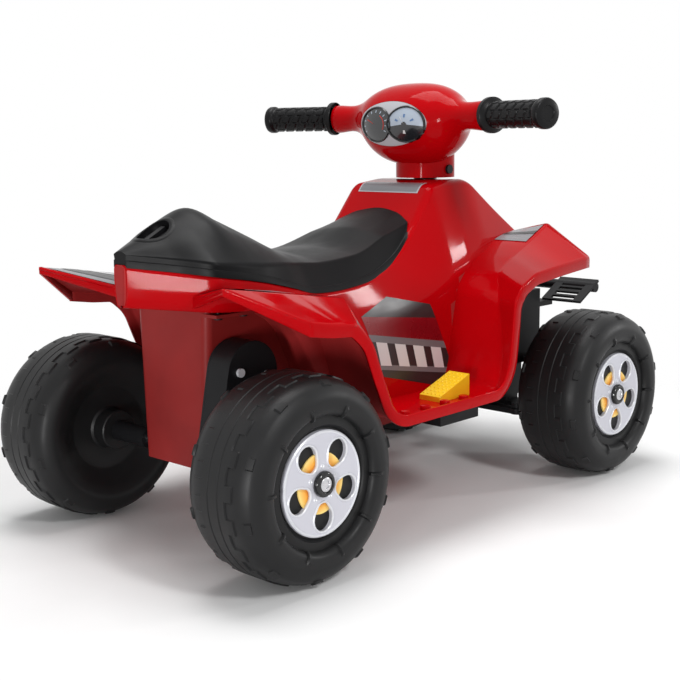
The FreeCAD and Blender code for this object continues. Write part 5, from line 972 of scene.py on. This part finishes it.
def softbox(name, position, target, size, power):
    light = bpy.data.lights.new(name, "AREA")
    light.shape = "RECTANGLE"
    light.size, light.size_y = size
    light.energy = power
    lamp = bpy.data.objects.new(name, light)
    lamp.location = position
    lamp.rotation_euler = (Vector(target) - Vector(position)).to_track_quat("-Z", "Y").to_euler()
    bpy.context.scene.collection.objects.link(lamp)


MIDDLE = (0, 0, 0.2)
# Place, target, size in metres and power in watts
SOFTBOXES = {
    "key": ((-0.3, -1.7, 1.5), MIDDLE, (0.3, 0.4), 13),
    "tail": ((-1.5, -0.72, 0.14), (-0.28, -0.04, 0.25), (0.17, 0.34), 10),
    "top": ((0.1, 0.2, 2.2), MIDDLE, (1.2, 1.2), 30),
    "front": ((1.35, -1.05, 0.66), (0.08, -0.07, 0.29), (0.14, 0.16), 4),
}
for name, settings in SOFTBOXES.items():
    softbox(name, *settings)

AMBIENT = 0.36
world = bpy.data.worlds.new("studio")
world.use_nodes = True
sky = world.node_tree
background = sky.nodes["Background"]
background.inputs["Color"].default_value = (1, 1, 1, 1)
rays = add(sky, "LightPath")
seen = None
for ray in ("Is Camera Ray", "Is Glossy Ray", "Is Transmission Ray"):
    total = add(sky, "Math", "ADD")
    total.use_clamp = True
    total.inputs[1].default_value = 0
    link(sky, rays, ray, total, 0)
    if seen:
        link(sky, seen, "Value", total, 1)
    seen = total
level = add(sky, "MapRange", To_Min=AMBIENT, To_Max=1)
link(sky, seen, "Value", level, "Value")
link(sky, level, "Result", background, "Strength")
bpy.context.scene.world = world
bpy.context.scene.view_settings.view_transform = "Standard"

FLOOR_SIZE, FLOOR_GAP, FADE_START, FADE_END = 6, 0.5 * MM, 0.38, 0.85
floor_look = moulded("studio_floor", (0.95, 0.95, 0.95), 0.7, 40, 0.01, 0.01, 0.05, Specular_IOR_Level=0.1)
tree = floor_look.node_tree
spread_of = add(tree, "VectorMath", "LENGTH")
link(tree, add(tree, "TexCoord"), "Object", spread_of, 0)
fade = add(tree, "MapRange", From_Min=FADE_START, From_Max=FADE_END)
fade.interpolation_type = "SMOOTHSTEP"
link(tree, spread_of, "Value", fade, "Value")
clear, blend = add(tree, "BsdfTransparent"), add(tree, "MixShader")
link(tree, fade, "Result", blend, "Fac")
link(tree, tree.nodes["Principled BSDF"], "BSDF", blend, 1)
link(tree, clear, "BSDF", blend, 2)
link(tree, blend, "Shader", tree.nodes["Material Output"], "Surface")
corner = FLOOR_SIZE / 2
floor_mesh = bpy.data.meshes.new("studio_floor")
floor_corners = [(x * corner, y * corner, 0) for x, y in ((-1, -1), (1, -1), (1, 1), (-1, 1))]
floor_mesh.from_pydata(floor_corners, [], [(0, 1, 2, 3)])
floor_mesh.materials.append(floor_look)
studio_floor = bpy.data.objects.new("studio_floor", floor_mesh)
studio_floor.location.z = cad_box[0][2] - FLOOR_GAP
bpy.context.scene.collection.objects.link(studio_floor)

# Kept CAD nodes get their own looks

KEPT = {
    RED: ("steering_neck", "pod_front_cover", "pod_rear_cover"),
    HULL_RED: ("lower_hull",),
    # The body screws and the clamp bolt take the black look, not steel: painted shade, where they sit under
    # the body and in the neck's recess
    BLACK: (
        "front_carrier", "front_bumper", "gearbox_inner", "gearbox_outer", "axle_spacer", "pedal_housing",
        "knuckle_left", "knuckle_right", "steering_link", "seat_lock", "column_bushes", "body_screws",
        "clamp_bolt",
    ),
    GLOSS_BLACK: tuple(f"hub_cap_{wheel}" for wheel in WHEELS),
    SILVER: tuple(f"rim_trim_{wheel}" for wheel in WHEELS),
    ORANGE_PAINTED_GLOW: tuple(f"brake_disc_{wheel}" for wheel in WHEELS),
    STEEL: (
        "rear_axle", "rear_axle_nuts", "gear_pins", "pedal_pin", "pedal_spring", "kingpins", "bumper_screws",
        "steering_column", "stub_axle_left", "stub_axle_right", "motor_pinion", "motor",
    ),
    PALE_GREY: ("dash_panel",),
    # The gearbox screws take the pale silver paint, not steel, so they show bright in the shade: a painted
    # glint on plated heads
    PALE_SILVER: ("gearbox_screws",),
    YELLOW: ("pedal",),
    NYLON: ("first_gear", "second_gear", "output_gear"),
    CASE_GREY: ("battery",),
    DIAL_BLACK: ("pedal_switch", "switch_plunger"),
    CABLE: ("wiring_loom",),
}
for look, names in KEPT.items():
    for name in names:
        nodes[name].data.materials.clear()
        nodes[name].data.materials.append(look)
SOFTENED = (
    "lower_hull", "front_carrier", "front_bumper", "gearbox_outer", "gearbox_inner", "gearbox_screws",
    "pedal_housing", "battery", "steering_link", "knuckle_left", "knuckle_right", "pedal", "seat_lock",
    *KEPT[GLOSS_BLACK], *KEPT[SILVER],
)
for name in SOFTENED:
    soften(name)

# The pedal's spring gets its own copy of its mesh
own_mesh(nodes["pedal_spring"])
